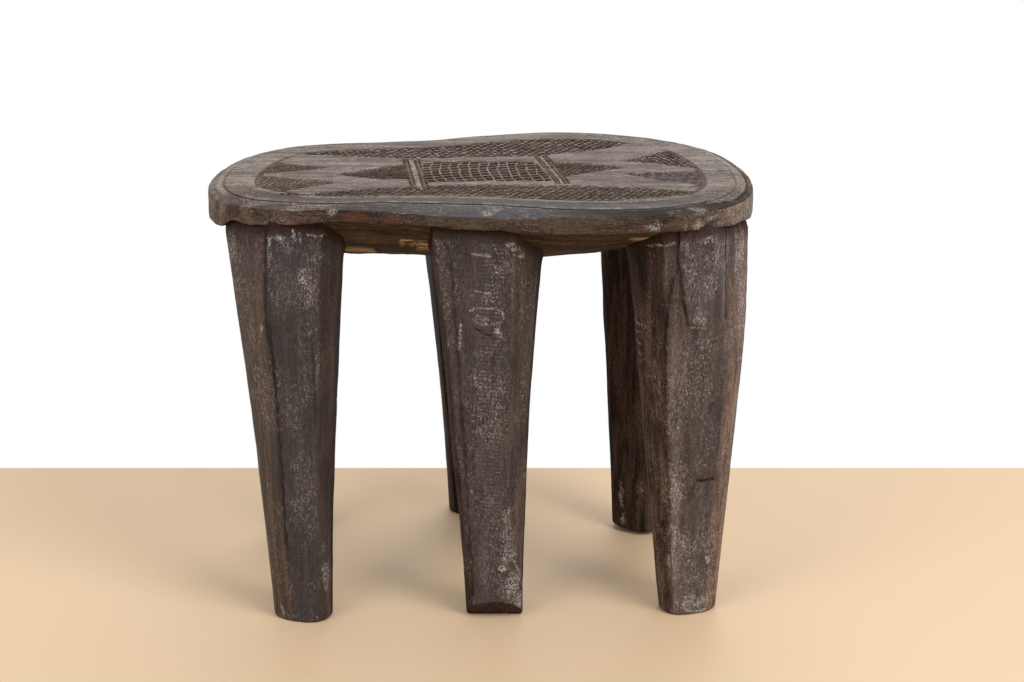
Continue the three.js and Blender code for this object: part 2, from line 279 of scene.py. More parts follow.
for ring, (name, share) in enumerate(RINGS, 1):
    here = (ring_at == ring) & ~centre_point & ~in_panel
    normal = rim_normal[here]
    point = rim_point[here]
    arris = arris_height(normal) + np.minimum(cut_wave[here], 2.2) - 0.2
    lip = lip_height(normal) + lip_wave[here]
    inset = np.zeros(here.sum())
    level = np.full(here.sum(), TOP)
    front = normal[:, 1] * np.where(normal[:, 1] < 0, -1, 0)
    if name == "border":
        shift = groove_shift(point, normal)
        inset = slope_inset - shift + (border_width(point, normal) + shift) * (1 - share)
        # At the front a strip of the border is sunk, and painted darker and blue-grey: painted shade.
        sunk_strip = front * smooth(0.3, 0.36, share)
        level = TOP - 0.15 - sunk_strip * (0.4 + 0.15 * smooth(0.36, 1.0, share))
        marks[here, PALE] = 0.15 * (1 - sunk_strip)
        # Dark lines at the edge of the sunk strip and next to the groove are painted shade.
        marks[here, HOLLOW_SHADE] = front * (0.6 * (0.3 < share < 0.4) + 0.55 * (share > 0.95))
        dashes = np.clip(0.3 + 1.6 * wander(along_rim[here], 0.035, 11), 0, 1.2)
        marks[here, PALE] += front * (0.8 < share < 0.95) * dashes
        tone[here, CAST] = 0.8 * sunk_strip * smooth(-150, -90, point[:, 0])
        tone[here, DUST_AND_SHEEN] = 1.7 - 1.1 * sunk_strip
        tone[here, LIGHT] = 1.0 - 0.6 * sunk_strip
        tone[here, DULL] = 0.85 - 0.3 * sunk_strip
        if share < 0.1:
            level = level - 0.35
            marks[here, HOLLOW_SHADE] = 0.35 + 0.3 * np.abs(normal[:, 0])
            marks[here, RED] = 0.9
    if name == "groove":
        inset = inset + SLOPE_WIDTH - groove_shift(point, normal) + GROOVE_WIDTH * (1 - share)
        down = np.where(share < 1.0, 1.0, 0.0)
        level = TOP - 0.3 - 0.7 * front - (0.4 + 0.9 * front) * groove_share[here] * down
        # The groove is painted dark as shade, and at the ends a pale line along it is a painted highlight.
        marks[here, HOLLOW_SHADE] = (0.1 + 0.9 * down) * groove_share[here] * (0.25 * down + 0.6 * front)
        marks[here, RED] = 0.9 * (1 - 0.6 * front) * down * groove_share[here]
        marks[here, PALE] = 0.8 * (1 - down) * groove_share[here] * (1 - front)
    if name == "slope":
        inset = inset + (SLOPE_WIDTH - groove_shift(point, normal)) * (1 - share)
        start = TOP - 0.3 - 0.7 * front
        level = start - (start - arris) * (share + 0.25 * share * (share - 1))
        waist = np.exp(-(((point[:, 0] + 5) / 75.0) ** 2))
        to_right = at_front[here] * smooth(50, 110, point[:, 0])
        to_left = at_front[here] * smooth(-70, -120, point[:, 0])
        # On the front of the slope the blue-grey cast is a painted reflection.
        tone[here, CAST] = np.clip(front * waist + 0.1 * to_right, 0, 1)
        tone[here, DUST_AND_SHEEN] = 1.6 - 0.5 * front * (1 - 0.8 * to_left) - 0.7 * to_right
        tone[here, LIGHT] = 0.92 - 0.67 * front * (1 - 0.4 * to_left) - 0.17 * to_right
        tone[here, DULL] = 0.8 - 0.3 * front * waist
        # At the right end a pale band inside a dark line along the arris paints its highlight and shade, and
        # at the left end a pale strip paints a highlight.
        outer_line = 0.55 * smooth(0.55, 0.97, normal[:, 0])
        at_right = smooth(0.5, 0.8, normal[:, 0])
        inside_line = smooth(0.02, -0.04, share - outer_line)
        band = at_right * inside_line
        tone[here, LIGHT] += at_right * (0.12 * inside_line - 0.25 * (share > outer_line))
        tone[here, DUST_AND_SHEEN] += 0.3 * band
        marks[here, PALE] = 0.5 * band
        marks[here, HOLLOW_SHADE] = 0.8 * at_right * np.exp(-(((share - outer_line - 0.03) / 0.07) ** 2))
        at_left = smooth(0.75, 0.95, -normal[:, 0]) * (share < 0.3)
        marks[here, PALE] = np.maximum(marks[here, PALE], 0.9 * at_left)
        tone[here, LIGHT] += 0.15 * at_left
    if name == "face":
        at_end = np.abs(normal[:, 0]) ** 2
        round_off = 0.7 * (1 - smooth(0.0, 0.08, share)) + 0.3 * smooth(0.9, 1.0, share)
        inset = round_off + 1.1 * (0.5 - face_facet[here]) * smooth(0.0, 0.3, share) * (1 - 0.7 * at_end)
        level = arris - 0.35 - (arris - 0.35 - lip) * share
        tone[here, CAST] = 0.15
        strokes = wander(along_rim[here], 0.006, 12) * at_end
        inset = inset + 0.2 * strokes
        right_end = smooth(0.55, 0.85, normal[:, 0])
        left_end = smooth(0.3, 0.8, -normal[:, 0])
        to_left = at_front[here] * smooth(-90, -130, point[:, 0])
        tone[here, DUST_AND_SHEEN] = 0.45 + 0.95 * at_end + 0.2 * right_end
        ends = 0.45 * right_end + 0.12 * left_end + 0.08 * to_left
        tone[here, LIGHT] = 0.29 + (0.2 + 0.45 * strokes) * at_end + ends
        marks[here, PALE] = np.clip(0.8 * strokes, 0, 1)
        tone[here, DULL] = 0.75
        # The foot of the face is painted dark: painted shade under the rim.
        marks[here, HOLLOW_SHADE] = 0.35 * smooth(0.75, 1.0, share)
    if name == "lip":
        inset = inset + 0.6 + 4.4 * share
        level = lip + 0.5 * share
        # The lip is painted dark: painted shade.
        marks[here, HOLLOW_SHADE] = 0.5
        tone[here] = LIP_TONE
    if name == "belly":
        point = BELLY_CENTRE + (point - normal * LIP_WIDTH - BELLY_CENTRE) * share
        wave = (lip_wave[here] + 0.5) * smooth(0.7, 1.0, share)
        level = BELLY_BOTTOM + (lip_height(normal) - BELLY_BOTTOM) * share ** BELLY_FULLNESS + wave
        tone[here] = BELLY_TONE
    plan[here] = point - normal * inset[:, None]
    height[here] = level
plan[centre_point] = BELLY_CENTRE
height[centre_point] = BELLY_BOTTOM
tone[centre_point] = BELLY_TONE

# Seat: the carved panel
# The carver sank nine fields into the top, with smooth zigzag bands left standing between
# them, and cut two pairs of notched cords across the bands. The fields are seen from above.
FIELDS = {
    "back": [(-163, 57), (-154, 54), (-122, 49), (-92, 42.5), (-62, 37), (-47, 37.5), (-20, 40.5), (3, 42),
             (35, 45), (50, 49), (62, 56), (82, 65), (94, 71), (110, 86), (118, 97), (127, 103), (125, 160),
             (-160, 160)],
    "front": [(-128, -94), (-123, -89), (-102, -81), (-77, -72.5), (-55, -67), (-35, -61.5), (-5, -58),
              (30, -59), (60, -61.5), (90, -65), (120, -70), (140, -76), (152, -80), (170, -90), (150, -150),
              (-127, -150)],
    "net": [(-50, 18), (-35, 24), (-3, 28.5), (40, 28), (47, 0), (55, -48), (30, -50), (2, -48),
            (-35, -52.5), (-42, -55), (-46, -20)],
    "left": [(-114, -24), (-85, 0), (-62, 18), (-50, 18), (-46, -46), (-58, -41), (-75, -43), (-95, -34)],
    "right": [(117, 2), (85, 17), (55, 26), (47, 26), (55, -38), (65, -33), (90, -13)],
    "left_back": [(-117, 1.5), (-145, 14), (-164, 25), (-190, 30), (-190, -24), (-172, -22), (-145, -12.5)],
    "left_front": [(-104, -50), (-145, -37.5), (-169, -30), (-190, -28), (-180, -84), (-147, -85),
                   (-145, -81), (-127, -67.5)],
    "right_back": [(110, 27.5), (127, 46), (147, 66), (165, 80), (190, 10), (168, -1), (150, 9), (138, 18)],
    "right_front": [(109, -20), (140, -14.5), (168, -9), (190, -8), (190, -70), (168, -67), (155, -73),
                    (163, -61), (157, -56), (140, -47.5), (125, -35)],
}
CORDS = [                # both ends, half the way between the strands, half a strand's width
    ((-57.0, 36.0), (-45.5, -73.0), 4.5, 1.5),
    ((46.8, 50.0), (63.5, -58.5), 3.3, 1.1),
]
POCKET = 3.0             # how deep the top is sunk under the cuts and the cords
CELL = 1.45              # about the width of a cell of the panel's grid


def from_outline(points, outline):
    """Signed distance to a closed outline, less than zero inside, and the nearest point on it."""
    start = np.asarray(outline, float)
    along = np.roll(start, -1, 0) - start
    best = np.full(len(points), np.inf)
    nearest = np.zeros((len(points), 2))
    inside = np.zeros(len(points), bool)
    for a, d in zip(start, along):
        share = np.clip(((points - a) @ d) / (d @ d), 0.0, 1.0)
        foot = a + share[:, None] * d
        gap = np.linalg.norm(points - foot, axis=1)
        closer = gap < best
        best[closer] = gap[closer]
        nearest[closer] = foot[closer]
        crosses = (a[1] > points[:, 1]) != (a[1] + d[1] > points[:, 1])
        reach = a[0] + (points[:, 1] - a[1]) * d[0] / (d[1] if abs(d[1]) > 1e-9 else 1e-9)
        inside ^= crosses & (points[:, 0] < reach)
    return np.where(inside, -best, best), nearest


panel_line = edge_at(np.arange(0.0, AROUND, 2.0))
panel_middle_line = panel_line * (1 - 1.4 / np.linalg.norm(panel_line, axis=1))[:, None]


def by_hand(outline, seed):
    """The outline as a knife leaves it, in short cuts that wander a little, kept on the panel."""
    start = np.asarray(outline, float)
    points = []
    for a, b in zip(start, np.roll(start, -1, 0)):
        count = max(2, int(np.linalg.norm(b - a) / 4.0))
        points += [a + (b - a) * k / count for k in range(count)]
    points = np.array(points)
    flat = np.column_stack([points, np.zeros(len(points))])
    shift = np.column_stack([wander(flat, 11.0, seed), wander(flat, 11.0, seed + 0.5)])
    points = points + 0.9 * shift
    distance, foot = from_outline(points, panel_middle_line)
    return np.where(distance[:, None] > 0, foot, points)


def cord_outline(start, end, apart, strand_width):
    start, end = np.array(start, float), np.array(end, float)
    run = (end - start) / np.linalg.norm(end - start)
    aside = np.array([-run[1], run[0]]) * (apart + strand_width + 1.3)
    return [start - aside, end - aside, end + aside, start + aside]


outlines = {name: by_hand(outline, 20 + k) for k, (name, outline) in enumerate(FIELDS.items())}
pockets = [*outlines.values(), *[cord_outline(*cord) for cord in CORDS]]
panel = np.nonzero(in_panel)[0]
for outline in pockets:
    distance, foot = from_outline(plan[panel], outline)
    on_edge = np.abs(distance) < 0.5 * CELL
    inner = ring_at[panel] < 0
    snap = on_edge & inner & (height[panel] > TOP - 0.1)
    plan[panel[snap]] = foot[snap]
    sunk = distance < -0.5 * CELL
    height[panel[sunk]] = TOP - POCKET
sunk_panel = in_panel & (height < TOP - POCKET + 0.01)
behind_net = sunk_panel & (np.abs(plan[:, 0] + 1) < 46) & (plan[:, 1] > 16) & (plan[:, 1] < 30)
height[behind_net] = TOP - 1.3
tone[sunk_panel, :DULL] = PANEL_TONE
edge_ring = in_panel & (ring_at == 0)
height[edge_ring & ~sunk_panel] = TOP - 1.1
# The line round the panel is painted dark: painted shade in it.
marks[edge_ring, HOLLOW_SHADE] = 0.5
marks[edge_ring, RED] = 0.6

# The deep slot at the left tip of the front field, with a pale cut beside it
slot_end = np.array([-146.5, -92.0])
slot_run = np.array([17.0, -4.0])
along_slot = np.clip((plan - slot_end) @ slot_run / (slot_run @ slot_run), 0.0, 1.0)
aside_slot = plan - slot_end - along_slot[:, None] * slot_run
from_slot = np.where(in_panel | (ring_at < 6), np.linalg.norm(aside_slot, axis=1), 99.0)
height[from_slot < 1.5] = TOP - 3.2
# The slot is painted dark: painted shade.
marks[from_slot < 1.9, HOLLOW_SHADE] = 1.2
beside_slot = (from_slot > 1.9) & (from_slot < 4.2) & (aside_slot[:, 1] > 0)
marks[beside_slot, PALE] = 0.9

# The step that the carver left across the right-hand border, from the panel to the groove
step_zone = (ring_at >= 1) & (ring_at <= last_ring["border"]) & (plan[:, 0] > 150)
before_step = step_zone & (plan[:, 1] <= -7.5) & (plan[:, 1] > -45)
height[before_step] -= 0.55
step_edge = step_zone & (np.abs(plan[:, 1] + 6.0) < 1.0)
step_foot = step_zone & (np.abs(plan[:, 1] + 8.4) < 1.2)
# The edge of the step carries a painted highlight and its foot painted shade.
marks[step_edge, PALE] = 1.0
marks[step_foot, HOLLOW_SHADE] = 0.6
tone[before_step, LIGHT] -= 0.12

# Wear: the tops of the bands and the border are rubbed slightly hollow
flat_plan = np.column_stack([plan, np.zeros(len(plan))])
worn = (height > TOP - 2.2) & (plan[:, 0] ** 2 < 205.0 ** 2) & (ring_at <= last_ring["groove"])
broad_rub = 0.28 * (wander(flat_plan, (34, 22, 1), 6) + 1) * 0.5
fine_rub = 0.16 * (wander(flat_plan, (9, 5, 1), 7) + 1) * 0.5
height[worn] -= (broad_rub + fine_rub)[worn]

# Adze marks under the seat and on the rim
under = (ring_at > last_ring["face"] - 2) & ~in_panel
solid = np.column_stack([plan, height])
height[under] += 0.8 * wander(solid[under], (19, 13, 30), 8) + 0.35 * wander(solid[under], (6, 5, 9), 9)
facing = (ring_at >= last_ring["slope"]) & (ring_at <= last_ring["face"])
plan[facing] -= rim_normal[facing] * (0.35 * (wander(solid[facing], (9, 9, 7), 10) + 1))[:, None]

# Bare wood where the adze broke through beside the legs, and scuffs and red-brown places on
# the rim, each as its middle, its spread across and upright, and its strength
BARE_PATCHES = [
    (-88, -93, 287, 15, 3.8), (-80, -97, 286, 9, 3.2), (-44, -109, 294, 15, 5.5), (121, -140, 305, 12, 2.6),
    (-36, -110, 292, 9, 4.0), (-54, -112, 299, 7, 2.5), (132, -140, 307, 7, 2.2),
]
SCUFFS = [
    (-106, -135, 326, 5, 3, 1.3), (5, -144, 327, 7, 2.2, 1.4), (13, -142, 328, 6, 2.0, 1.2),
    (66, -157, 321, 3, 2, 0.9), (126, -156, 320, 7, 4, 1.1), (160, -142, 317, 6, 4, 2.2),
    (150, -148, 316, 2, 3, 1.6), (171, -133, 321, 6, 2.5, 1.6), (174, -131, 317, 1.2, 4, 1.8),
    (160, -138, 327, 8, 2.5, 1.3), (141, -147, 327, 8, 2.0, 0.6), (-60, -137, 321, 22, 5, 0.2),
    (30, -150, 320, 30, 5, 0.1), (-150, -131, 318, 16, 6, 0.35),
]
REDDISH = [
    (-90, -138, 322, 11, 5, 0.9), (-64, -140, 321, 12, 5, 0.7), (-20, -140, 318, 10, 5, 0.35),
    (115, -156, 320, 8, 5, 0.4),
]
solid = np.column_stack([plan, height])
outside = (ring_at > last_ring["groove"]) & ~in_panel
torn = 0.7 * wander(solid, (7, 7, 2.2), 13)


def near_place(x, y, z, spread, tall):
    """0 at a place and 1 at the end of its spread."""
    return np.linalg.norm((solid - (x, y, z)) / (spread, spread, tall), axis=1)


for patch in BARE_PATCHES:
    broken = 1 - smooth(0.75, 1.05, near_place(*patch) + torn)
    marks[:, BARE] = np.maximum(marks[:, BARE], broken * (under | centre_point))
for *patch, strength in SCUFFS:
    scuffed = strength * (1 - smooth(0.2, 1.2, near_place(*patch) + torn))
    marks[outside, PALE] = np.maximum(marks[outside, PALE], scuffed[outside])
for *patch, strength in REDDISH:
    reddened = strength * (1 - smooth(0.3, 1.2, near_place(*patch)))
    marks[outside, RED] = np.maximum(marks[outside, RED], reddened[outside])


def dressed_mesh(mesh, points, marks_here, tones_here):
    """Puts millimetre points into a mesh, and the surface marks and tones onto its corners."""
    mesh.vertices.foreach_set("co", (points * 0.001).astype(np.float32).ravel())
    corner = np.zeros(len(mesh.loops), np.int32)
    mesh.loops.foreach_get("vertex_index", corner)
    for layer_name, values in (("marks", marks_here), ("tone", tones_here)):
        layer = mesh.attributes.new(layer_name, "FLOAT_COLOR", "CORNER")
        layer.data.foreach_set("color", values[corner].astype(np.float32).ravel())
    mesh.update()
    return mesh


dressed_mesh(blank_mesh, np.column_stack([plan, height]), marks, tone)
seat = bmesh.new()
seat.from_mesh(blank_mesh)


# Seat: the chip cuts
# Each sunk field is filled with rows of knife cuts. The middle field is a net of thin ridges
# round deep pits, and the others are rows of small raised lozenges with grooves between.
def paint(faces, mark, marks_here, hue, tones_here):
    for face in faces:
        for loop in face.loops:
            loop[mark] = marks_here
            loop[hue] = tones_here


def turn_edge_down(cuts, depth):
    """Carries the open edge of a piece of carving down into the wood."""
    rim = [e for e in cuts.edges if e.is_boundary]
    skirt = bmesh.ops.extrude_edge_only(cuts, edges=rim)["geom"]
    below = [v for v in skirt if isinstance(v, bmesh.types.BMVert)]
    bmesh.ops.translate(cuts, vec=(0, 0, -depth), verts=below)


def join_to_seat(cuts):
    piece = bpy.data.meshes.new("carving")
    cuts.to_mesh(piece)
    cuts.free()
    seat.from_mesh(piece)
    bpy.data.meshes.remove(piece)


def chip_cuts(outline, seed, middle, step, lean, edge, fall, base=TOP - 2.0, net=False, bow=0.0,
              flecks=0.0, cast=0.2, squash=1.0, shadow=1.0):
    """Rows of cuts over an outline. step is the size of one cut, lean how far a row and a column
    shift sideways, edge and fall the width and height of its sides, base the level they start
    from, bow the bend of the columns, flecks the share of pale tops, and shadow how dark the cuts
    are."""
    lines = np.asarray(outline, float)
    reach = np.abs(lines - middle).max(0)
    cols, rows = (int(2 * (r + 2 * s) / s) + 6 for r, s in zip(reach, step))
    cuts = bmesh.new()
    bmesh.ops.create_grid(cuts, x_segments=cols, y_segments=rows, size=1.0)
    flat = np.array([v.co for v in cuts.verts])[:, :2]
    i = flat[:, 0] * cols / 2
    j = flat[:, 1] * rows / 2
    x = middle[0] + i * step[0] + j * lean[0]
    y = middle[1] + j * step[1] + i * lean[1]
    x = x + bow * ((y - middle[1] - 8.0) / 30.0) ** 2
    shake = np.column_stack([x, y, np.zeros(len(x))])
    jitter = min(step) * (0.22 if net else 0.17)
    x = x + jitter * wander(shake, 2.3, seed) + jitter * wander(shake, 9.0, seed + 0.3)
    y = y + jitter * wander(shake, 2.3, seed + 1) + jitter * wander(shake, 9.0, seed + 1.3)
    for vert, px, py in zip(cuts.verts, x, y):
        vert.co = (px, py, base)
    centres = np.array([f.calc_center_median()[:2] for f in cuts.faces])
    gap, foot = from_outline(centres, lines)
    far = [f for f, g in zip(cuts.faces, gap) if g > (0.15 if net else 0.6) * max(step)]
    bmesh.ops.delete(cuts, geom=far, context="FACES")
    mark = cuts.loops.layers.float_color.new("marks")
    hue = cuts.loops.layers.float_color.new("tone")
    random = np.random.default_rng(int(seed * 10))
    bmesh.ops.scale(cuts, vec=(1.0, squash, 1.0), verts=cuts.verts[:])
    inner = cuts.faces[:]
    if net:
        ridges = bmesh.ops.inset_individual(cuts, faces=inner, thickness=edge * 0.5, use_even_offset=True)
        for face in ridges["faces"]:
            chipped = 1.6 * (random.random() < 0.1)
            paint([face], mark, (random.uniform(0.0, 0.4) + chipped, 0.0, random.uniform(0.0, 0.8), 0.0),
                  hue, (cast, random.uniform(0.6, 1.4), random.uniform(0.4, 1.0), 0.7))
    sides = bmesh.ops.inset_individual(cuts, faces=inner, thickness=edge, depth=0.0, use_even_offset=True)
    side_shadow = (0.75 if net else 0.5) * shadow
    paint(sides["faces"], mark, (0.0, side_shadow, 0.15, 0.0), hue, (cast, 1.1, 0.5, 0.9))
    for face in inner:
        sink = fall * random.uniform(0.7, 1.1)
        for vert in face.verts:
            vert.co.z += sink * (1 + 0.15 * random.uniform(-1, 1))
        pale = random.random() ** 3 * flecks + 0.1
        dark = max(0.0, random.uniform(-0.6, 0.6)) * shadow
        if net:
            paint([face], mark, (0.0, 0.65 * shadow, 0.1, 0.0), hue, (cast, 0.9, 0.45, 0.9))
        else:
            paint([face], mark, (pale, dark, 0.5 * random.random() ** 2, 0.0),
                  hue, (cast * random.random(), 1.45, random.uniform(0.5, 1.1), 0.7))
    bmesh.ops.scale(cuts, vec=(1.0, 1 / squash, 1.0), verts=cuts.verts[:])
    turn_edge_down(cuts, 2.0)
    bmesh.ops.recalc_face_normals(cuts, faces=cuts.faces[:])
    bmesh.ops.scale(cuts, vec=(0.001, 0.001, 0.001), verts=cuts.verts[:])
    join_to_seat(cuts)


net_outline = by_hand([(-46, 16), (-35, 19), (-3, 22), (39, 22), (45, 0), (52.5, -48), (30, -50), (2, -48),
                       (-34, -52.5), (-38.5, -55), (-42, -20)], 29)
chip_cuts(net_outline, 30, (2, -13), (7.4, 9.2), (-0.5, 2.6), 1.3, -1.9,
          base=TOP - 0.4, net=True, bow=2.0, squash=0.55)
chip_cuts(outlines["right"], 31, (78, -4), (5.6, 4.4), (1.8, 1.4), 1.3, 1.2, flecks=0.3)
chip_cuts(outlines["back"], 32, (0, 78), (5.6, 5.8), (2.8, -2.6), 1.5, 1.45, flecks=1.5)
chip_cuts(outlines["front"], 33, (0, -84), (5.4, 4.6), (2.2, -1.0), 1.35, 1.3, flecks=0.5, shadow=0.9)
chip_cuts(outlines["left"], 34, (-78, -14), (4.4, 4.4), (2.0, 1.8), 1.2, 1.1, flecks=0.3, shadow=1.1)
chip_cuts(outlines["left_back"], 35, (-150, 2), (4.2, 4.6), (1.6, 1.2), 1.2, 1.0, shadow=0.7)
chip_cuts(outlines["left_front"], 36, (-150, -55), (4.2, 4.6), (1.6, -1.8), 1.2, 1.0, shadow=0.7)
chip_cuts(outlines["right_back"], 37, (148, 30), (4.6, 6.2), (-2.4, 1.0), 1.3, 1.2,
          base=TOP - 2.1, shadow=1.1)
chip_cuts(outlines["right_front"], 38, (146, -35), (7.5, 6.5), (1.6, -1.8), 2.4, 0.5,
          cast=0.9, shadow=0.45)

# Seat: the cords
# Two bands across the panel, each with a notched strand along either side and a paler
# twisted strip down its middle, all cut from the solid.
for turn_of, (start, end, apart, strand_width) in enumerate(CORDS):
    start, end = np.array(start, float), np.array(end, float)
    length = np.linalg.norm(end - start)
    run = (end - start) / length
    aside = np.array([-run[1], run[0]])
    band = bmesh.new()
    bmesh.ops.create_grid(band, x_segments=int(length / 0.8), y_segments=22, size=1.0)
    flat = np.array([v.co for v in band.verts])
    s = flat[:, 0] * length / 2
    w = flat[:, 1] * (apart + strand_width + 0.9)
    strand = np.clip(1 - ((np.abs(w) - apart) / strand_width) ** 2, 0, 1) ** 0.5
    strip = 1 - smooth(apart - strand_width - 1.3, apart - strand_width - 0.5, np.abs(w))
    twist = 0.5 + 0.5 * np.cos(2 * math.pi * (s + 0.9 * np.abs(w)) / 6.2)
    lace = 0.5 + 0.5 * np.cos(2 * math.pi * (s - 0.35 * w) / 5.3 + 0.8 * np.sin(s / 3.0))
    z = TOP - 2.1 + strand * (1.85 - 0.8 * twist) + strip * (1.45 - 0.7 * lace)
    here = (start + end) / 2 + s[:, None] * run + w[:, None] * aside
    z = z + 0.12 * wander(np.column_stack([here, z]), 3.0, 40 + turn_of)
    mark = band.loops.layers.float_color.new("marks")
    hue = band.loops.layers.float_color.new("tone")
    # The tops of the strands carry painted highlights, brighter on the second cord, and the notches and gaps
    # are painted dark: painted shade.
    strand_highlight = 0.45 + 0.55 * turn_of
    for k, vert in enumerate(band.verts):
        vert.co = (here[k, 0] * 0.001, here[k, 1] * 0.001, z[k] * 0.001)
        low = 1.0 - max(strand[k], strip[k])
        notch_shade = max(low, strand[k] * twist[k] ** 2, 0.7 * strip[k] * lace[k] ** 2)
        fibre = 1.3 * strip[k] * (1 - lace[k]) + strand_highlight * strand[k] * (1 - twist[k]) ** 2
        lit_side = 0.08 * strand[k] * (1 - twist[k])
        for loop in vert.link_loops:
            loop[mark] = (fibre, 0.85 * notch_shade, strand[k], lit_side)
            loop[hue] = (0.1 * strip[k], 0.8 + 0.7 * strip[k], 1.0 - 0.25 * strand[k], 0.7)
    turn_edge_down(band, 0.002)
    join_to_seat(band)

seat_mesh = bpy.data.meshes.new("seat_carved")
seat.to_mesh(seat_mesh)
seat.free()
bpy.data.meshes.remove(blank_mesh)
seat_mesh.polygons.foreach_set("use_smooth", np.ones(len(seat_mesh.polygons), bool))
seat_mesh.set_sharp_from_angle(angle=math.radians(38))
seat_piece = bpy.data.objects.new("seat_carved", seat_mesh)
bpy.context.scene.collection.objects.link(seat_piece)


# Seat: the patina
# Dark oiled hardwood, grey on top from rubbing, dust and painted sheen, dusty in its grain, with
# painted shade in its hollows.
# The grain runs along the seat, and in the same block of wood it runs up the legs.
class Wire:
    """A shader socket that sums and other nodes can be written from."""

    def __init__(self, tree, socket=None):
        self.tree = tree
        self.socket = socket

    def add(self, kind, settings=None, inputs=None, out=0):
        node = self.tree.nodes.new(kind)
        for key, value in (settings or {}).items():
            setattr(node, key, value)
        for key, value in (inputs or {}).items():
            if isinstance(value, Wire):
                self.tree.links.new(value.socket, node.inputs[key])
            else:
                node.inputs[key].default_value = value
        return Wire(self.tree, node.outputs[out] if len(node.outputs) else None)

    def maths(self, operation, first, second):
        return self.add("ShaderNodeMath", {"operation": operation}, {0: first, 1: second})

    def __add__(self, other):
        return self.maths("ADD", self, other)

    __radd__ = __add__

    def __mul__(self, other):
        return self.maths("MULTIPLY", self, other)

    __rmul__ = __mul__

    def __sub__(self, other):
        return self.maths("SUBTRACT", self, other)

    def __rsub__(self, other):
        return self.maths("SUBTRACT", other, self)

    def between(self, low, high):
        """0 below low, 1 above high, and smooth between them."""
        return self.add("ShaderNodeMapRange", {"interpolation_type": "SMOOTHSTEP"},
                        {"Value": self, "From Min": low, "From Max": high})

    def outlet(self, name):
        """Another socket of the node that this one is on."""
        return Wire(self.tree, self.socket.node.outputs[name])

    def stretched(self, amounts):
        return self.add("ShaderNodeVectorMath", {"operation": "MULTIPLY"}, {0: self, 1: amounts})

    def grainy(self, scale, detail, rough=0.55):
        return self.add("ShaderNodeTexNoise", {}, {"Vector": self, "Scale": scale, "Detail": detail,
                                                   "Roughness": rough})

    def mixed(self, first, second):
        """The first colour where this is 0, and the second where it is 1."""
        return self.add("ShaderNodeMix", {"data_type": "RGBA"}, {"Factor": self, 6: first, 7: second}, 2)


def shade(red, green, blue):
    """A colour as a paint chart gives it, for a shader."""
    parts = [c / 255 / 12.92 if c < 11 else ((c / 255 + 0.055) / 1.055) ** 2.4 for c in (red, green, blue)]
    return (*parts, 1.0)


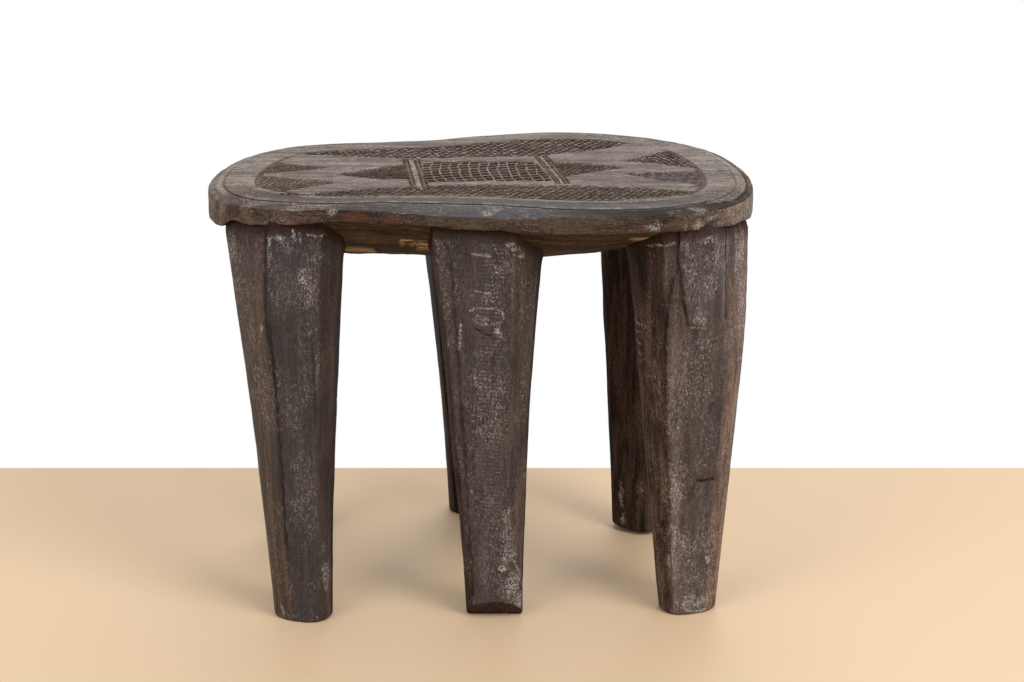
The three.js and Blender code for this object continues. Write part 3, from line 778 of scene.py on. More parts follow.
def old_wood(name, fine, coarse, dark, middle, cast, film, rough):
    """Old dark wood. fine and coarse stretch its fibres and its figure along the grain, dark and
    middle are its own colours, cast the blue-grey one, film that of the dust and the painted sheen."""
    rubbed_grey_and_sheen = shade(117, 112, 107)
    warm_brown = shade(80, 55, 42)
    red_brown = shade(128, 80, 52)
    pore_brown = shade(24, 17, 13)
    hollow_shade_brown = shade(36, 25, 19)
    bare_tan = shade(188, 160, 116)
    wood = bpy.data.materials.new(name)
    wood.use_nodes = True
    tree = wood.node_tree
    tree.nodes.clear()
    here = Wire(tree).add("ShaderNodeTexCoord", out="Object")
    askew = here.add("ShaderNodeVectorRotate", {"rotation_type": "EULER_XYZ"},
                     {"Vector": here, "Rotation": (0.6, 0.9, 0.5)})
    fibre = here.stretched(fine).grainy(1.0, 4.0)
    figure = here.stretched(coarse).grainy(1.0, 3.0)
    patch = askew.grainy(31.0, 4.0)
    mottle = askew.grainy(700.0, 4.0, 0.7)
    speck = askew.grainy(1500.0, 3.0, 0.8)
    thread = here.stretched(tuple(4 * f if f < 100 else 1.7 * f for f in fine)).grainy(1.0, 3.0, 0.7)
    tints = Wire(tree).add("ShaderNodeAttribute", {"attribute_name": "marks"}, out="Color")
    pale = tints.add("ShaderNodeSeparateColor", {}, {"Color": tints})
    hollow_shade = pale.outlet(1)
    red = pale.outlet(2)
    bare = tints.outlet("Alpha")
    tones = Wire(tree).add("ShaderNodeAttribute", {"attribute_name": "tone"}, out="Color")
    cool = tones.add("ShaderNodeSeparateColor", {}, {"Color": tones})
    dust_and_sheen_level = cool.outlet(1)
    light = cool.outlet(2)
    dull = tones.outlet("Alpha")
    body = (figure * 0.6 + fibre * 0.4).between(0.36, 0.64).mixed(dark, middle)
    body = (patch.between(0.42, 0.7) * 0.4).mixed(body, warm_brown)
    body = (cool * 0.7).mixed(body, cast)
    streak = figure.between(0.36, 0.64)
    # Where the dust amount passes 1 the wood turns grey: rubbed wood, and painted sheen on the top.
    body = ((dust_and_sheen_level - 1.0).between(0.0, 1.0) * (streak * 0.25 + 0.75)).mixed(body, rubbed_grey_and_sheen)
    grit = (mottle * 0.5 + speck * 0.5).between(0.36, 0.64)
    lit = light * 2.0 * (grit * 0.5 + streak * 0.3 + 0.6)
    body = lit.add("ShaderNodeMix", {"data_type": "RGBA", "blend_type": "MULTIPLY"},
                   {"Factor": 1.0, 6: body, 7: lit}, 2)
    pore = (speck * 0.5 + thread * 0.5).between(0.34, 0.66)
    body = ((1 - pore) * 0.75).mixed(body, pore_brown)
    dust_and_sheen = (mottle * 0.4 + thread * 0.3 + speck * 0.3).between(0.47, 0.62) * dust_and_sheen_level * patch.between(0.32, 0.6)
    curl = askew.add("ShaderNodeTexNoise", {},
                     {"Vector": askew, "Scale": 330.0, "Detail": 3.0, "Distortion": 1.2})
    scratch = 1 - curl.maths("ABSOLUTE", curl - 0.5, 0.0).between(0.004, 0.03)
    smear_and_highlight = pale * ((mottle * 0.35 + thread * 0.15 + speck * 0.5).between(0.5, 0.59) * 0.8 + scratch * 0.6)
    colour = (dust_and_sheen * 0.55 + smear_and_highlight).between(0.0, 1.0).mixed(body, film)
    colour = (red * 0.6 * pore).mixed(colour, red_brown)
    # Hollows, grooves and cracks are painted dark brown: painted shade.
    colour = (hollow_shade * 0.85).between(0.0, 1.0).mixed(colour, hollow_shade_brown)
    colour = (bare * (mottle * 0.4 + fibre * 0.6).between(0.42, 0.52)).mixed(colour, bare_tan)
    relief = fibre * 0.5 + mottle * 0.3 + speck * 0.2 + thread * 0.2
    bump = relief.add("ShaderNodeBump", {}, {"Height": relief, "Strength": 0.7, "Distance": 0.0006}, "Normal")
    gloss = dust_and_sheen * 0.15 + mottle * 0.2 + hollow_shade * 0.25 + rough
    waxed = bump.add("ShaderNodeBsdfPrincipled", {}, {
        "Base Color": colour, "Roughness": gloss, "Normal": bump, "IOR": 1.42,
    })
    plain = bump.add("ShaderNodeBsdfPrincipled", {}, {
        "Base Color": colour, "Roughness": 0.95, "Normal": bump, "Specular IOR Level": 0.0,
    })
    skin = dull.add("ShaderNodeMixShader", {}, {0: dull, 1: waxed, 2: plain})
    skin.add("ShaderNodeOutputMaterial", {}, {"Surface": skin})
    return wood


seat_wood = old_wood("seat_patina", (34, 520, 520), (9, 120, 120), shade(84, 66, 55), shade(126, 105, 90),
                     shade(98, 96, 106), shade(196, 186, 176), 0.34)
seat_mesh.materials.append(seat_wood)
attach(seat_piece, "root")
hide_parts("seat")

# Legs
# Six legs grow out of the underside in a ring under the rim and taper to round feet, hewn from
# the same block with long flat cuts. One foot stops short of the floor, and the toe of the
# middle one in front is cut off at a slant.
FOOT_WIDTH, MIDDLE_WIDTH, HEAD_WIDTH = 45.0, 63.0, 91.0
LEG_THICKNESS = 0.75        # as a share of the width
OVAL_POWER = 2.5            # 2 is an ellipse, and more is fuller at the corners
LEG_TOP = 316.0
TAPER_TOP = 320.0
LEG_INSET = 3.5             # how far a leg stays inside the rim at the top
LEG_SPREAD = 16.0           # how much further out it may stand at the floor
LOOK_STEP = 3.0             # degrees between the bearings at which a leg is measured
EDGE_SHARPNESS = 60         # of the edges between the cuts
FOOT_ROUNDING = 2.6
SLANT_HEIGHT = 15.0
SLANT_DEPTH = 13.0
# Foot and head are places as shares of half the seat, and facing and cuts are bearings in
# degrees. Girth widens the foot, the middle and the head, and tones gives single cuts their
# cast, dust, lightness and dullness, which partly paint the light, shade and sheen on each side
# of a leg. A leg can be set in from the rim, be worn round up to a
# height, stop short of the floor or have its toe cut off.
LEGS = [
    {"name": "leg_front_left", "foot": (-0.661, -0.70), "head": (-0.700, -0.60), "facing": -112,
     "set_in": 1.6, "girth": (1.02, 1.02, 1.03), "cuts": (-172, -138, -86, -40, -4, 38, 80, 118, 154),
     "tones": {1: (0, 1.0, 0.6, 0), 2: (0.85, 0.8, 0.4, 0), 3: (0.1, 0.5, 0.4, 0), 4: (0, 0.3, 0.3, 0.7),
               5: (0, 0.3, 0.3, 0.9), 6: (0, 0.2, 0.3, 0.9), 8: (0, 0.4, 0.4, 0.9)}},
    {"name": "leg_front_middle", "foot": (0.050, -0.68), "head": (0.020, -0.69), "facing": -94,
     "slant": True, "girth": (0.98, 0.95, 0.97), "cuts": (-168, -101, -44, -6, 34, 72, 108, 150),
     "tones": {0: (0.1, 0.9, 0.5, 0.8), 1: (0.65, 1.1, 0.55, 0), 2: (0.25, 1.0, 0.58, 0),
               3: (0, 0.6, 0.42, 0.8), 4: (0, 0.3, 0.35, 0.9), 5: (0, 0.2, 0.3, 0.9),
               7: (0, 0.4, 0.35, 0.9)}},
    {"name": "leg_front_right", "foot": (0.772, -0.61), "head": (0.752, -0.63), "facing": -66,
     "worn_to": 270.0, "set_in": 0.0, "girth": (1.00, 1.16, 1.10),
     "cuts": (-172, -138, -78, -30, 4, 42, 84, 124, 158),
     "tones": {0: (0, 0.5, 0.5, 0.8), 1: (0, 0.4, 0.42, 0.7), 2: (0.5, 0.9, 0.56, 0),
               3: (0.05, 1.25, 1.2, 0.3), 4: (0, 1.2, 1.15, 0.4), 5: (0, 1.2, 1.15, 0.8),
               7: (0, 0.2, 0.3, 0.9), 8: (0, 0.7, 0.7, 0.9)}},
    {"name": "leg_back_left", "foot": (-0.745, 0.42), "head": (-0.700, 0.38), "facing": 128,
     "girth": (0.96, 0.90, 0.86), "cuts": (-160, -120, -80, -38, 5, 45, 85, 122, 160)},
    {"name": "leg_back_middle", "foot": (-0.048, 0.73), "head": (-0.066, 0.63), "facing": 96,
     "girth": (0.96, 0.95, 0.99), "cuts": (-155, -115, -82, -45, -5, 35, 70, 105, 140, 178)},
    {"name": "leg_back_right", "foot": (0.628, 0.44), "head": (0.638, 0.54), "facing": 50,
     "lift": 3.0, "girth": (0.98, 0.98, 0.95),
     "cuts": (-170, -128, -95, -55, -15, 22, 58, 92, 130, 160),
     "tones": {0: (0, 0.1, 0.5, 0.9), 1: (0, 0.2, 0.6, 0.9), 2: (0, 0.2, 0.5, 0.9),
               3: (0.2, 0.4, 0.55, 0.5)}},
]


def leg_shape(leg, bearing, level):
    """For each bearing and level, how far the side of a leg is from its middle, that middle, how
    near an edge between two cuts is, and the tone."""
    base = leg.get("lift", 0.0)
    share = np.clip((level - base) / (TAPER_TOP - base), 0.0, 1.0)
    half = np.array([HALF_LENGTH, HALF_DEPTH])
    foot = np.array(leg["foot"]) * half
    head = np.array(leg["head"]) * half
    levels = np.linspace(base, TAPER_TOP, 60)
    shares = (levels - base) / (TAPER_TOP - base)
    narrow, mid, wide = np.array((FOOT_WIDTH, MIDDLE_WIDTH, HEAD_WIDTH)) * leg["girth"]
    bend = 2 * (narrow + wide - 2 * mid)
    width = narrow + (wide - narrow - bend) * shares + bend * shares ** 2
    look = np.radians(np.arange(0.0, 360.0, LOOK_STEP))
    turned = look - math.radians(leg["facing"])
    cuts = np.radians(np.array(leg["cuts"], float))
    hold = np.zeros((len(levels), len(cuts)))
    round_form = np.zeros((len(levels), len(look)))
    for k, z in enumerate(levels):
        deep, broad = width[k] * LEG_THICKNESS / 2, width[k] / 2
        along, across = np.abs(np.cos(turned) / deep), np.abs(np.sin(turned) / broad)
        oval = (along ** OVAL_POWER + across ** OVAL_POWER) ** (-1 / OVAL_POWER)
        middle = foot + (head - foot) * shares[k]
        set_in = leg.get("set_in", 0.8) * smooth(275, 300, z) + 3.0 * smooth(306, 312, z)
        inside_rim = LEG_INSET + set_in - LEG_SPREAD * (1 - z / TOP)
        flare = RIM_POINTS - RIM_NORMALS * inside_rim - middle
        angle = np.arctan2(flare[:, 1], flare[:, 0])
        order = np.argsort(angle)
        limit = np.interp(look, angle[order], np.linalg.norm(flare, axis=1)[order], period=2 * math.pi)
        radius = np.minimum(oval, limit)
        round_form[k] = radius
        ring = np.stack([np.cos(look), np.sin(look)], -1) * radius[:, None]
        ways = np.stack([np.cos(cuts), np.sin(cuts)], -1)
        hold[k] = (ring @ ways.T).max(0)
    seed = len(leg["name"]) + leg["facing"]
    for k in range(len(cuts)):
        run = np.column_stack([levels, np.full(len(levels), 40.0 * k), np.full(len(levels), float(seed))])
        strokes = wander(run, (52.0, 1, 7), k + 0.5)
        nicks = wander(run, (19.0, 1, 7), k + 0.9)
        hold[:, k] -= 0.3 + 0.7 * strokes + 0.3 * nicks
    pull = np.zeros((len(bearing), len(cuts)))
    for k, cut in enumerate(cuts):
        drift = math.radians(4.0) * np.sin(level / 61.0 + 2.1 * k)
        towards = np.cos(bearing - cut - drift)
        pull[:, k] = np.clip(towards, 0.02, 1.0) / np.interp(level, levels, hold[:, k])
    ordered = np.sort(pull, axis=1)
    arris = 1 - smooth(0.0, 0.035, (ordered[:, -1] - ordered[:, -2]) / ordered[:, -1])
    share_of_cut = (pull / ordered[:, -1:]) ** EDGE_SHARPNESS
    radius = 1 / (ordered[:, -1] * share_of_cut.sum(1) ** (1 / EDGE_SHARPNESS))
    row = np.clip(share, 0, 1) * (len(levels) - 1.001)
    column = np.mod(np.degrees(bearing), 360.0) / LOOK_STEP
    r0, c0 = row.astype(int), column.astype(int) % len(look)
    r1, c1 = r0 + 1, (c0 + 1) % len(look)
    dr, dc = row - r0, column - np.floor(column)
    smooth_radius = ((round_form[r0, c0] * (1 - dc) + round_form[r0, c1] * dc) * (1 - dr)
                     + (round_form[r1, c0] * (1 - dc) + round_form[r1, c1] * dc) * dr)
    hewn = 0.1 + 0.75 * smooth(10.0, leg.get("worn_to", 110.0), level)
    radius = radius * hewn + (smooth_radius - 0.4) * (1 - hewn)
    # Cuts that face the middle of the stool are painted darker, with less dust and cast, as painted shade
    # between the legs, and are made dull.
    shaded_inward = np.clip(np.cos(cuts - math.atan2(foot[1], foot[0])) * -0.9 + 0.25, 0.0, 1.0)
    random = np.random.default_rng(abs(int(seed)) + 7)
    tones = np.column_stack([random.uniform(0, 0.6, len(cuts)) * (1 - shaded_inward), 0.9 - 0.85 * shaded_inward,
                             random.uniform(0.42, 0.6, len(cuts)) * (1 - 0.35 * shaded_inward), 0.95 * shaded_inward])
    for k, given in leg.get("tones", {}).items():
        tones[k] = given
    tones = (share_of_cut @ tones) / share_of_cut.sum(1)[:, None]
    return radius, foot + (head - foot) * share[:, None], arris, tones


def near_line(x, z, line, width):
    """How close points of the front are to a broken line, 1 on it and 0 a width away."""
    close = (x > min(p[0] for p in line) - 4) & (x < max(p[0] for p in line) + 4)
    close &= (z > min(p[1] for p in line) - 4) & (z < max(p[1] for p in line) + 4)
    full = np.zeros(len(x))
    x, z = x[close], z[close]
    points = np.column_stack([x, z])
    gap = np.full(len(points), np.inf)
    for a, b in zip(np.array(line[:-1], float), np.array(line[1:], float)):
        d = b - a
        share = np.clip(((points - a) @ d) / (d @ d), 0, 1)
        gap = np.minimum(gap, np.linalg.norm(points - a - share[:, None] * d, axis=1))
    full[close] = 1 - smooth(0.0, width, gap)
    return full


# What the knife, the adze and use have left on the fronts of the legs: lines as x and height,
# with width, depth, paleness and darkness, then scuffs as x, height, two half-sizes and paleness
LINES = {
    "leg_front_left": [
        ([(-156.7, 309), (-157.5, 270), (-157.3, 234), (-154.5, 214), (-151.3, 159), (-149.3, 99),
          (-148, 60)], 2.2, 0.9, 0.0, 1.2),
        ([(-155.6, 240), (-154.2, 214), (-152.6, 190), (-151.8, 170)], 2.6, 0.7, 0.2, 1.3),
        ([(-124, 224), (-123.5, 195), (-123, 160)], 2.4, 0.7, 0.0, 0.8),
        ([(-154, 279), (-146, 279), (-138, 277.5)], 1.2, 0.25, 0.3, 0.4),
        ([(-136, 311), (-135, 303)], 1.2, 0.2, 1.6, 0.0),
        ([(-131.5, 309), (-130.5, 301)], 1.1, 0.2, 1.2, 0.0),
        ([(-125.5, 307.5), (-119, 306), (-113.5, 306.8)], 1.3, 0.2, 1.6, 0.0),
        ([(-153.8, 11), (-152.6, 6)], 1.8, 0.3, 2.0, 0.0),
        ([(-149.8, 125), (-150.5, 105)], 2.4, 0.5, 0.0, 0.6),
        ([(-110, 230), (-109, 190), (-108, 140), (-108.5, 90)], 1.6, 0.5, 0.25, 0.3),
    ],
    "leg_front_middle": [
        ([(-23, 300), (-21.4, 282), (-19, 250), (-17.6, 220), (-15.5, 185), (-13.6, 156), (-11, 100),
          (-8.3, 49), (-7, 20)], 3.0, 1.2, 0.0, 0.8),
        ([(-14.0, 241), (-14.6, 232), (-15.0, 222)], 1.1, 0.3, 2.5, 0.0),
        ([(-15.2, 226), (-15.6, 221)], 1.8, 0.3, 2.5, 0.0),
        ([(-7, 252), (-1, 253.6), (8, 254), (15, 253.6), (18.3, 250), (18, 245), (14, 242)],
         1.3, 0.5, 1.2, 0.2),
        ([(-5, 245), (1, 242), (8, 241), (13, 243)], 1.8, 0.4, 1.3, 0.1),
        ([(-3, 237), (4, 234), (8, 232)], 2.2, 0.9, 0.0, 0.8),
        ([(-5, 267), (4, 266), (8, 266.5)], 1.2, 0.3, 0.9, 0.2),
        ([(2, 260), (9, 260.5)], 1.2, 0.3, 0.7, 0.2),
        ([(-18, 208), (-10, 208.6)], 1.0, 0.2, 0.7, 0.0),
        ([(-4, 199), (4, 198.4), (10, 198)], 1.0, 0.2, 0.9, 0.0),
        ([(16, 218), (20, 212), (22, 206)], 1.4, 0.4, 0.6, 0.3),
        ([(10, 216), (9, 205), (10, 196)], 2.6, 0.7, 0.0, 0.7),
        ([(24, 110), (25, 96), (26, 80)], 2.6, 0.6, 0.0, 0.5),
        ([(20, 58), (27, 46), (31, 34), (33, 20)], 1.6, 0.3, 0.7, 0.1),
        ([(-5, 296), (3, 295), (7, 295)], 1.2, 0.2, 1.8, 0.0),
    ],
    "leg_front_right": [
        ([(144.8, 314), (144.6, 300), (145.2, 287)], 2.2, 1.6, 0.0, 1.0),
        ([(145.2, 288), (141.1, 274), (138.6, 260), (137.6, 250), (136.8, 240)], 2.2, 1.8, 0.0, 1.15),
        ([(136.8, 240), (136.4, 228), (136.8, 212)], 1.6, 0.9, 0.0, 0.85),
        ([(146, 286), (148.4, 270), (150.5, 256), (153.9, 240)], 3.2, 1.2, 0.0, 0.95),
        ([(154, 239), (160, 238), (166, 237.6)], 1.4, 0.5, 1.0, 0.2),
        ([(157, 236), (164, 235)], 1.4, 0.4, 0.0, 0.3),
        ([(131, 257.5), (139, 256.6), (146, 256.4)], 1.0, 0.2, 0.6, 0.0),
        ([(180.6, 311), (181.2, 290), (181.6, 268), (182.2, 244)], 1.7, 1.4, 0.0, 1.1),
        ([(190.1, 306), (190.6, 290), (190.8, 275)], 1.4, 0.4, 0.9, 0.0),
        ([(165.4, 114), (171.5, 113), (177.8, 113.5)], 2.8, 1.3, 0.0, 1.3),
        ([(163.0, 111), (160.2, 105), (158.8, 96)], 3.0, 0.7, 0.0, 0.75),
        ([(139.2, 79), (138.8, 74)], 2.0, 1.0, 0.0, 1.0),
        ([(137.4, 67), (137.0, 64)], 1.8, 0.9, 0.0, 0.9),
        ([(145, 84), (148, 73), (151, 64)], 1.1, 0.2, 0.5, 0.0),
        ([(174.0, 47.5), (175.2, 43.5)], 2.4, 0.2, 3.0, 0.0),
        ([(163, 3.4), (169, 2.2), (173, 3.0)], 1.8, 0.2, 2.2, 0.0),
        ([(122, 209), (128.5, 208)], 1.2, 0.4, 0.5, 0.1),
        ([(124, 196), (129, 197)], 1.2, 0.4, 0.5, 0.1),
        ([(129.5, 212), (130.5, 196)], 1.2, 0.4, 0.6, 0.1),
        ([(174, 133), (178, 130)], 1.2, 0.4, 0.0, 0.5),
        ([(124, 300), (130, 302.5), (136, 303), (142, 305)], 1.7, 0.2, 1.2, 0.0),
        ([(107, 238), (120, 237)], 1.3, 0.15, 1.1, 0.0),
        ([(107, 230), (120, 229.5)], 1.3, 0.15, 0.9, 0.0),
        ([(108, 222), (120, 221)], 1.3, 0.15, 1.1, 0.0),
        ([(108, 213), (121, 213)], 1.3, 0.15, 0.9, 0.0),
        ([(193, 224), (203, 226)], 1.3, 0.15, 0.9, 0.0),
        ([(192, 206), (202, 208)], 1.3, 0.15, 0.9, 0.0),
    ],
}
SCUFFED = {
    "leg_front_left": [
        (-154, 299, 2.2, 9, 1.3), (-147, 305, 6, 3, 1.0), (-130, 276, 5, 7, 0.9), (-126, 270, 8, 11, 0.35),
        (-138, 262, 12, 14, 0.25),
        (-119, 290, 8, 6, 0.3), (-125, 262, 5, 12, 0.4), (-126, 238, 5, 8, 0.25), (-140, 150, 11, 50, 0.16),
        (-119.5, 38, 3.5, 14, 0.9), (-121, 60, 3, 10, 0.4), (-108, 100, 3, 40, 0.3), (-135, 110, 9, 30, 0.2),
        (-162, 236, 2, 3, 1.6), (-185, 290, 5, 14, 0.5), (-128, 120, 6, 22, 0.2), (-172, 180, 4, 7, 0.4),
        (-141, 298, 10, 8, 0.35),
    ],
    "leg_front_middle": [
        (22, 304, 4, 2, 1.4), (27, 300, 6, 2, 0.8), (31, 294, 3, 2, 1.3), (4, 295, 5, 2, 1.5),
        (4, 300, 9, 8, 0.3), (8, 285, 9, 10, 0.2), (22, 285, 8, 10, 0.2), (14, 150, 16, 70, 0.15),
        (16, 100, 12, 40, 0.25), (20, 80, 7, 26, 0.4), (21, 56, 7, 14, 0.7), (17, 44, 3, 2.4, 2.6),
        (24, 28, 6, 14, 0.9), (30, 15, 4, 8, 1.1), (3, 125, 8, 70, 0.15), (-7, 106, 1.5, 1.5, 2.2),
        (14, 236, 4, 4, 1.1), (18, 225, 3, 10, 0.5), (2, 246, 6, 3, 1.0),
    ],
    "leg_front_right": [
        (150, 303, 4, 5, 0.6), (166, 306, 9, 4, 0.9), (172, 290, 8, 12, 0.4), (170, 268, 8, 14, 0.6),
        (163, 246, 7, 8, 0.8), (168, 225, 10, 14, 0.4), (160, 200, 14, 30, 0.25), (170, 150, 10, 30, 0.2),
        (145, 47, 2, 6, 0.9), (165, 60, 12, 14, 0.35), (160, 30, 14, 20, 0.5), (163, 12, 12, 8, 1.0),
        (170, 85, 8, 20, 0.35), (125, 260, 3, 50, 0.25), (197, 250, 5, 40, 0.55), (195, 290, 4, 18, 0.8),
        (186, 210, 5, 30, 0.35), (155, 280, 5, 16, 0.4),
    ],
    "leg_back_right": [(117, 33, 2, 16, 1.2), (118.5, 12, 2.5, 10, 1.2), (133, 40, 5, 14, 0.4)],
}

leg_wood = old_wood("leg_patina", (460, 460, 60), (150, 150, 16), shade(46, 35, 30), shade(87, 70, 62),
                    shade(72, 68, 76), shade(200, 194, 192), 0.42)

for leg in LEGS:
    shown = leg["name"].startswith("leg_front")
    sides = 200 if shown else 132
    steps = 360 if shown else 220
    tube = bmesh.new()
    bmesh.ops.create_cone(tube, cap_ends=True, segments=sides, radius1=1.0, radius2=1.0, depth=2.0)
    upright = [e for e in tube.edges if abs(e.verts[0].co.z - e.verts[1].co.z) > 1.0]
    bmesh.ops.subdivide_edges(tube, edges=upright, cuts=steps)
    sole = [f for f in tube.faces if f.normal.z < -0.9]
    for inset in (0.03, 0.06, 0.12, 0.2, 0.25):
        bmesh.ops.inset_individual(tube, faces=sole, thickness=inset, use_even_offset=False)
    mesh = bpy.data.meshes.new(leg["name"] + "_hewn")
    spot = np.array([v.co for v in tube.verts])
    tube.to_mesh(mesh)
    tube.free()

    lift = leg.get("lift", 0.0)
    bearing = np.arctan2(spot[:, 1], spot[:, 0])
    reach = np.hypot(spot[:, 0], spot[:, 1])
    level = lift + (spot[:, 2] + 1) / 2 * (LEG_TOP - lift)
    radius, middle, arris, tones = leg_shape(leg, bearing, level)
    out = np.stack([np.cos(bearing), np.sin(bearing)], -1)
    above = level - lift
    up_the_edge = np.clip(above / FOOT_ROUNDING, 0, 1)
    radius = radius - 2.2 * (1 - np.sqrt(np.clip(1 - (1 - up_the_edge) ** 2, 0, 1)))
    skin = np.column_stack([middle + out * radius[:, None], level])

    # The grain stands a little proud in places, and the adze left ripples across it
    swell = 0.35 * wander(skin, (10, 10, 55), 50 + leg["facing"]) + 0.2 * wander(skin, (3.2, 3.2, 26), 51)
    swell += 0.12 * wander(skin, (1.6, 1.6, 7), 52)
    ripple = 0.5 + 0.5 * np.sin(2 * math.pi * level / 3.7 + 2.5 * wander(skin, (6, 6, 9), 53))
    rippled = smooth(0.0, 0.4, wander(skin, (17, 17, 60), 54 + leg["facing"]))
    swell -= 0.14 * ripple * rippled
    tints = np.zeros((len(skin), 4))
    tints[:, PALE] = 0.3 * arris * smooth(-0.2, 0.5, wander(skin, (8, 8, 22), 55))
    tones[:, DUST_AND_SHEEN] *= 0.75 + 0.5 * wander(skin, (13, 13, 70), 56 + leg["facing"])
    # Painted shade: the legs are painted darker under the seat, and where they join it darker still, without
    # dust, cast or pale marks.
    below_seat = belly_height(skin[:, :2]) - level
    shade_under_seat = np.exp(-np.clip(below_seat, 0, 60) / 12.0)
    tones[:, LIGHT] *= 1 - 0.6 * shade_under_seat
    tones[:, DULL] = np.maximum(tones[:, DULL], 0.8 * shade_under_seat)
    seat_join_shade = smooth(9.0, 3.0, below_seat)
    tones[:, CAST] *= 1 - seat_join_shade
    tones[:, DUST_AND_SHEEN] *= 1 - seat_join_shade
    tones[:, LIGHT] *= 1 - 0.5 * seat_join_shade
    rubbed_low = smooth(140, 30, level) * (leg["name"] in ("leg_front_middle", "leg_front_right"))
    tones[:, LIGHT] *= 1 + 0.3 * rubbed_low
    turned_front = smooth(0.25, 0.0, out[:, 1])

    # Fine knife ridges cross a strip up the front of the middle leg like the teeth of a comb
    if leg["name"] == "leg_front_middle":
        zone = smooth(-4, 1, skin[:, 0]) * (1 - smooth(15, 20, skin[:, 0])) * turned_front
        comb = 0.5 + 0.5 * np.sin(2 * math.pi * level / 3.1 + 1.2 * wander(skin, (5, 5, 7), 57))
        zone = zone * smooth(60, 90, level)
        swell -= 0.5 * comb * zone
        frayed = smooth(-0.3, 0.3, wander(skin, (5, 5, 6), 58))
        tints[:, PALE] += 0.4 * zone * smooth(0.6, 0.95, 1 - comb) * frayed
        tints[:, HOLLOW_SHADE] += 0.35 * zone * smooth(0.6, 0.95, comb)
        tones[:, CAST] = np.maximum(tones[:, CAST], 0.7 * zone)

    # The right leg is lighter low down, where it is rubbed. High on it a plate of wood stands
    # proud beside a wedge that is painted darker: painted shade beside the plate.
    if leg["name"] == "leg_front_right":
        to_left = smooth(0.1, -0.5, out[:, 0]) * turned_front
        to_right = smooth(0.1, 0.7, out[:, 0]) * turned_front
        lower_down = smooth(268, 215, level)
        tones[:, LIGHT] *= 1 + (0.8 * to_left + 0.2 * to_right) * lower_down
        tones[:, DUST_AND_SHEEN] += 0.4 * to_left * lower_down
        plate = smooth(144.6, 146.0, skin[:, 0] - 0.19 * np.clip(286 - level, 0, 60))
        fade = 1.5 + 26.0 * smooth(156, 172, skin[:, 0])
        plate = plate * smooth(-1, 1, (level - 238) / fade) * turned_front
        plate = plate * (1 - smooth(181, 183, skin[:, 0]))
        swell += 1.3 * plate
        shaded_wedge = smooth(137, 139, skin[:, 0]) * (1 - plate) * smooth(286, 280, level) * smooth(232, 240, level)
        shaded_wedge = shaded_wedge * turned_front * (1 - smooth(160, 162, skin[:, 0]))
        tones[:, CAST] = np.maximum(tones[:, CAST] * (1 - shaded_wedge), 0.65 * plate)
        tones[:, LIGHT] += 0.12 * plate - 0.1 * shaded_wedge

    # Cracks, cuts and scuffs, which run a little crooked
    shaken_x = skin[:, 0] + 0.9 * wander(skin, (9, 9, 7), 60) + 0.4 * wander(skin, (3, 3, 2.5), 61)
    shaken_z = skin[:, 2] + 0.9 * wander(skin, (7, 7, 9), 62) + 0.4 * wander(skin, (2.5, 2.5, 3), 63)
    ragged = 0.55 * wander(skin, (4, 4, 6), 64) + 0.3 * wander(skin, (1.6, 1.6, 2.4), 65)
    tints[:, PALE] *= 1 - 0.8 * seat_join_shade
    for line, wide, deep, pale, dark in LINES.get(leg["name"], []):
        at = near_line(shaken_x, shaken_z, line, wide) * turned_front * np.clip(1 + ragged, 0, 1.3)
        swell -= deep * at
        tints[:, PALE] = np.maximum(tints[:, PALE], pale * at)
        tints[:, HOLLOW_SHADE] = np.maximum(tints[:, HOLLOW_SHADE], dark * at)
    for x, z, wide, tall, pale in SCUFFED.get(leg["name"], []):
        gap = np.hypot((shaken_x - x) / wide, (shaken_z - z) / tall) + ragged * (0.9 if wide > 2 else 0.2)
        tints[:, PALE] = np.maximum(tints[:, PALE], pale * (1 - smooth(0.2, 1.3, gap)) * turned_front)
    # The painted shade where the leg joins the seat is red-brown.
    tints[:, RED] = np.maximum(tints[:, RED], 0.25 * seat_join_shade)

    # The leg flares into the underside of the seat
    swell += 1.3 * np.exp(-np.clip(below_seat, 0, 60) / 3.0) * smooth(305, 295, level)
    radius = (radius + swell) * np.clip(reach, 0, 1)
    skin[:, :2] = middle + out * radius[:, None]
    if leg.get("slant"):
        toe = leg["foot"][1] * HALF_DEPTH - 0.98 * FOOT_WIDTH * LEG_THICKNESS / 2
        ramp = SLANT_HEIGHT * np.clip(1 - (skin[:, 1] - toe) / SLANT_DEPTH, 0.0, 2.0)
        cut_off = smooth(-0.3, 0.3, ramp - skin[:, 2])
        skin[:, 2] = np.maximum(skin[:, 2], ramp)
        tones[:, LIGHT] *= 1 - 0.5 * cut_off
        tones[:, DUST_AND_SHEEN] *= 1 - 0.5 * cut_off
        tones[:, DULL] = np.maximum(tones[:, DULL], 0.8 * cut_off)
        tints[:, RED] = np.maximum(tints[:, RED], 0.3 * cut_off)
    skin[:, 2] = np.maximum(skin[:, 2], lift)
    dressed_mesh(mesh, skin, np.clip(tints, 0, 3), np.clip(tones, 0, 2))
    mesh.polygons.foreach_set("use_smooth", np.ones(len(mesh.polygons), bool))
    mesh.set_sharp_from_angle(angle=math.radians(50))
    mesh.materials.append(leg_wood)
    piece = bpy.data.objects.new(leg["name"] + "_hewn", mesh)
    bpy.context.scene.collection.objects.link(piece)
    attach(piece, "root")
    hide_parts(leg["name"])

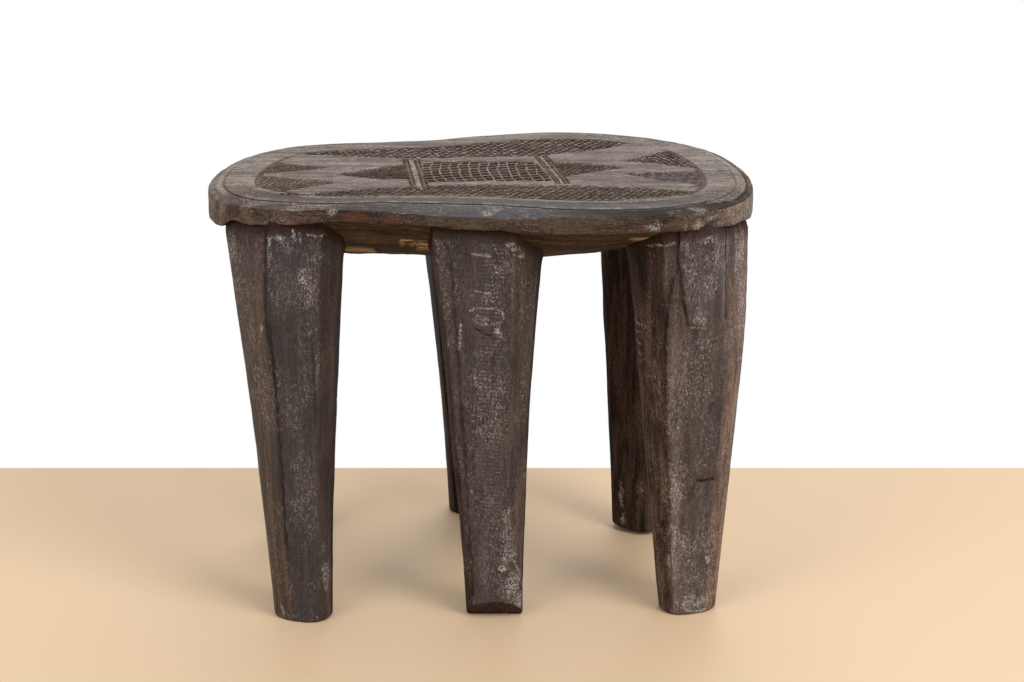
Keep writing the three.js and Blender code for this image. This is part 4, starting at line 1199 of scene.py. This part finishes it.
# Floor
# A plain pale board under the stool, smooth and a little glossy, which ends a short way behind
# it. Its sizes are in metres.
BOARD_WIDTH, BOARD_DEPTH, BOARD_THICKNESS = 3.6, 2.6, 0.03
BOARD_END = 0.2227
board = bmesh.new()
bmesh.ops.create_cube(board, size=1.0)
bmesh.ops.scale(board, vec=(BOARD_WIDTH, BOARD_DEPTH, BOARD_THICKNESS), verts=board.verts[:])
board_middle = (0.0, BOARD_END - BOARD_DEPTH / 2, -BOARD_THICKNESS / 2)
bmesh.ops.translate(board, vec=board_middle, verts=board.verts[:])
floor_mesh = bpy.data.meshes.new("floor")
board.to_mesh(floor_mesh)
board.free()
floor = bpy.data.objects.new("floor", floor_mesh)
bpy.context.scene.collection.objects.link(floor)
pale_board = bpy.data.materials.new("pale_board")
pale_board.use_nodes = True
face = pale_board.node_tree.nodes["Principled BSDF"]
face.inputs["Base Color"].default_value = shade(243, 211, 172)
face.inputs["Roughness"].default_value = 0.55
floor_mesh.materials.append(pale_board)

# Light
# Soft daylight from all round, a little stronger from the upper left and from the right. The
# surroundings look white, but light the stool with only half of that.
world = bpy.data.worlds.new("soft_room")
world.use_nodes = True
room = world.node_tree
room.nodes.clear()
path = Wire(room).add("ShaderNodeLightPath", out="Is Camera Ray")
glossy = path.outlet("Is Glossy Ray")
seen = path.maths("MAXIMUM", path, glossy)
sky = seen.add("ShaderNodeBackground", {}, {"Color": (1.0, 1.0, 1.0, 1.0), "Strength": seen * 0.5 + 0.5})
sky.add("ShaderNodeOutputWorld", {}, {"Surface": sky})
bpy.context.scene.world = world


def soft_lamp(name, place, aim, size, power):
    """A round lamp at a place, turned towards what it is aimed at."""
    light = bpy.data.lights.new(name, "AREA")
    light.shape = "DISK"
    light.size = size
    light.energy = power
    lamp = bpy.data.objects.new(name, light)
    bpy.context.scene.collection.objects.link(lamp)
    lamp.location = place
    way = np.array(aim, float) - place
    tilt = math.acos(-way[2] / np.linalg.norm(way))
    swing = math.atan2(way[1], way[0]) - math.pi / 2
    lamp.rotation_euler = (tilt, 0.0, swing)


soft_lamp("lamp_left", (-1.2, -1.5, 1.9), (0, 0, 0.2), 1.2, 11.0)
soft_lamp("lamp_right", (1.3, -1.3, 1.8), (0, 0, 0.2), 1.2, 25.0)
soft_lamp("lamp_back", (0.2, 1.3, 1.7), (0, 0.2, 0.0), 1.4, 9.0)

# Camera
# It stands 1.7 m in front of the stool with a long lens, and looks down at it.
camera = bpy.data.objects.new("camera", bpy.data.cameras.new("camera"))
bpy.context.scene.collection.objects.link(camera)
camera.data.sensor_width = 36.0
camera.data.lens = 77.34
camera.location = (0.024, -1.6968, 0.6874)
camera.rotation_euler = (math.radians(90 - 16.40), 0.0, 0.0)
bpy.context.scene.camera = camera
bpy.context.scene.view_settings.view_transform = "Standard"


def plain(box):
    return [[round(float(c), 6) for c in corner] for corner in box]
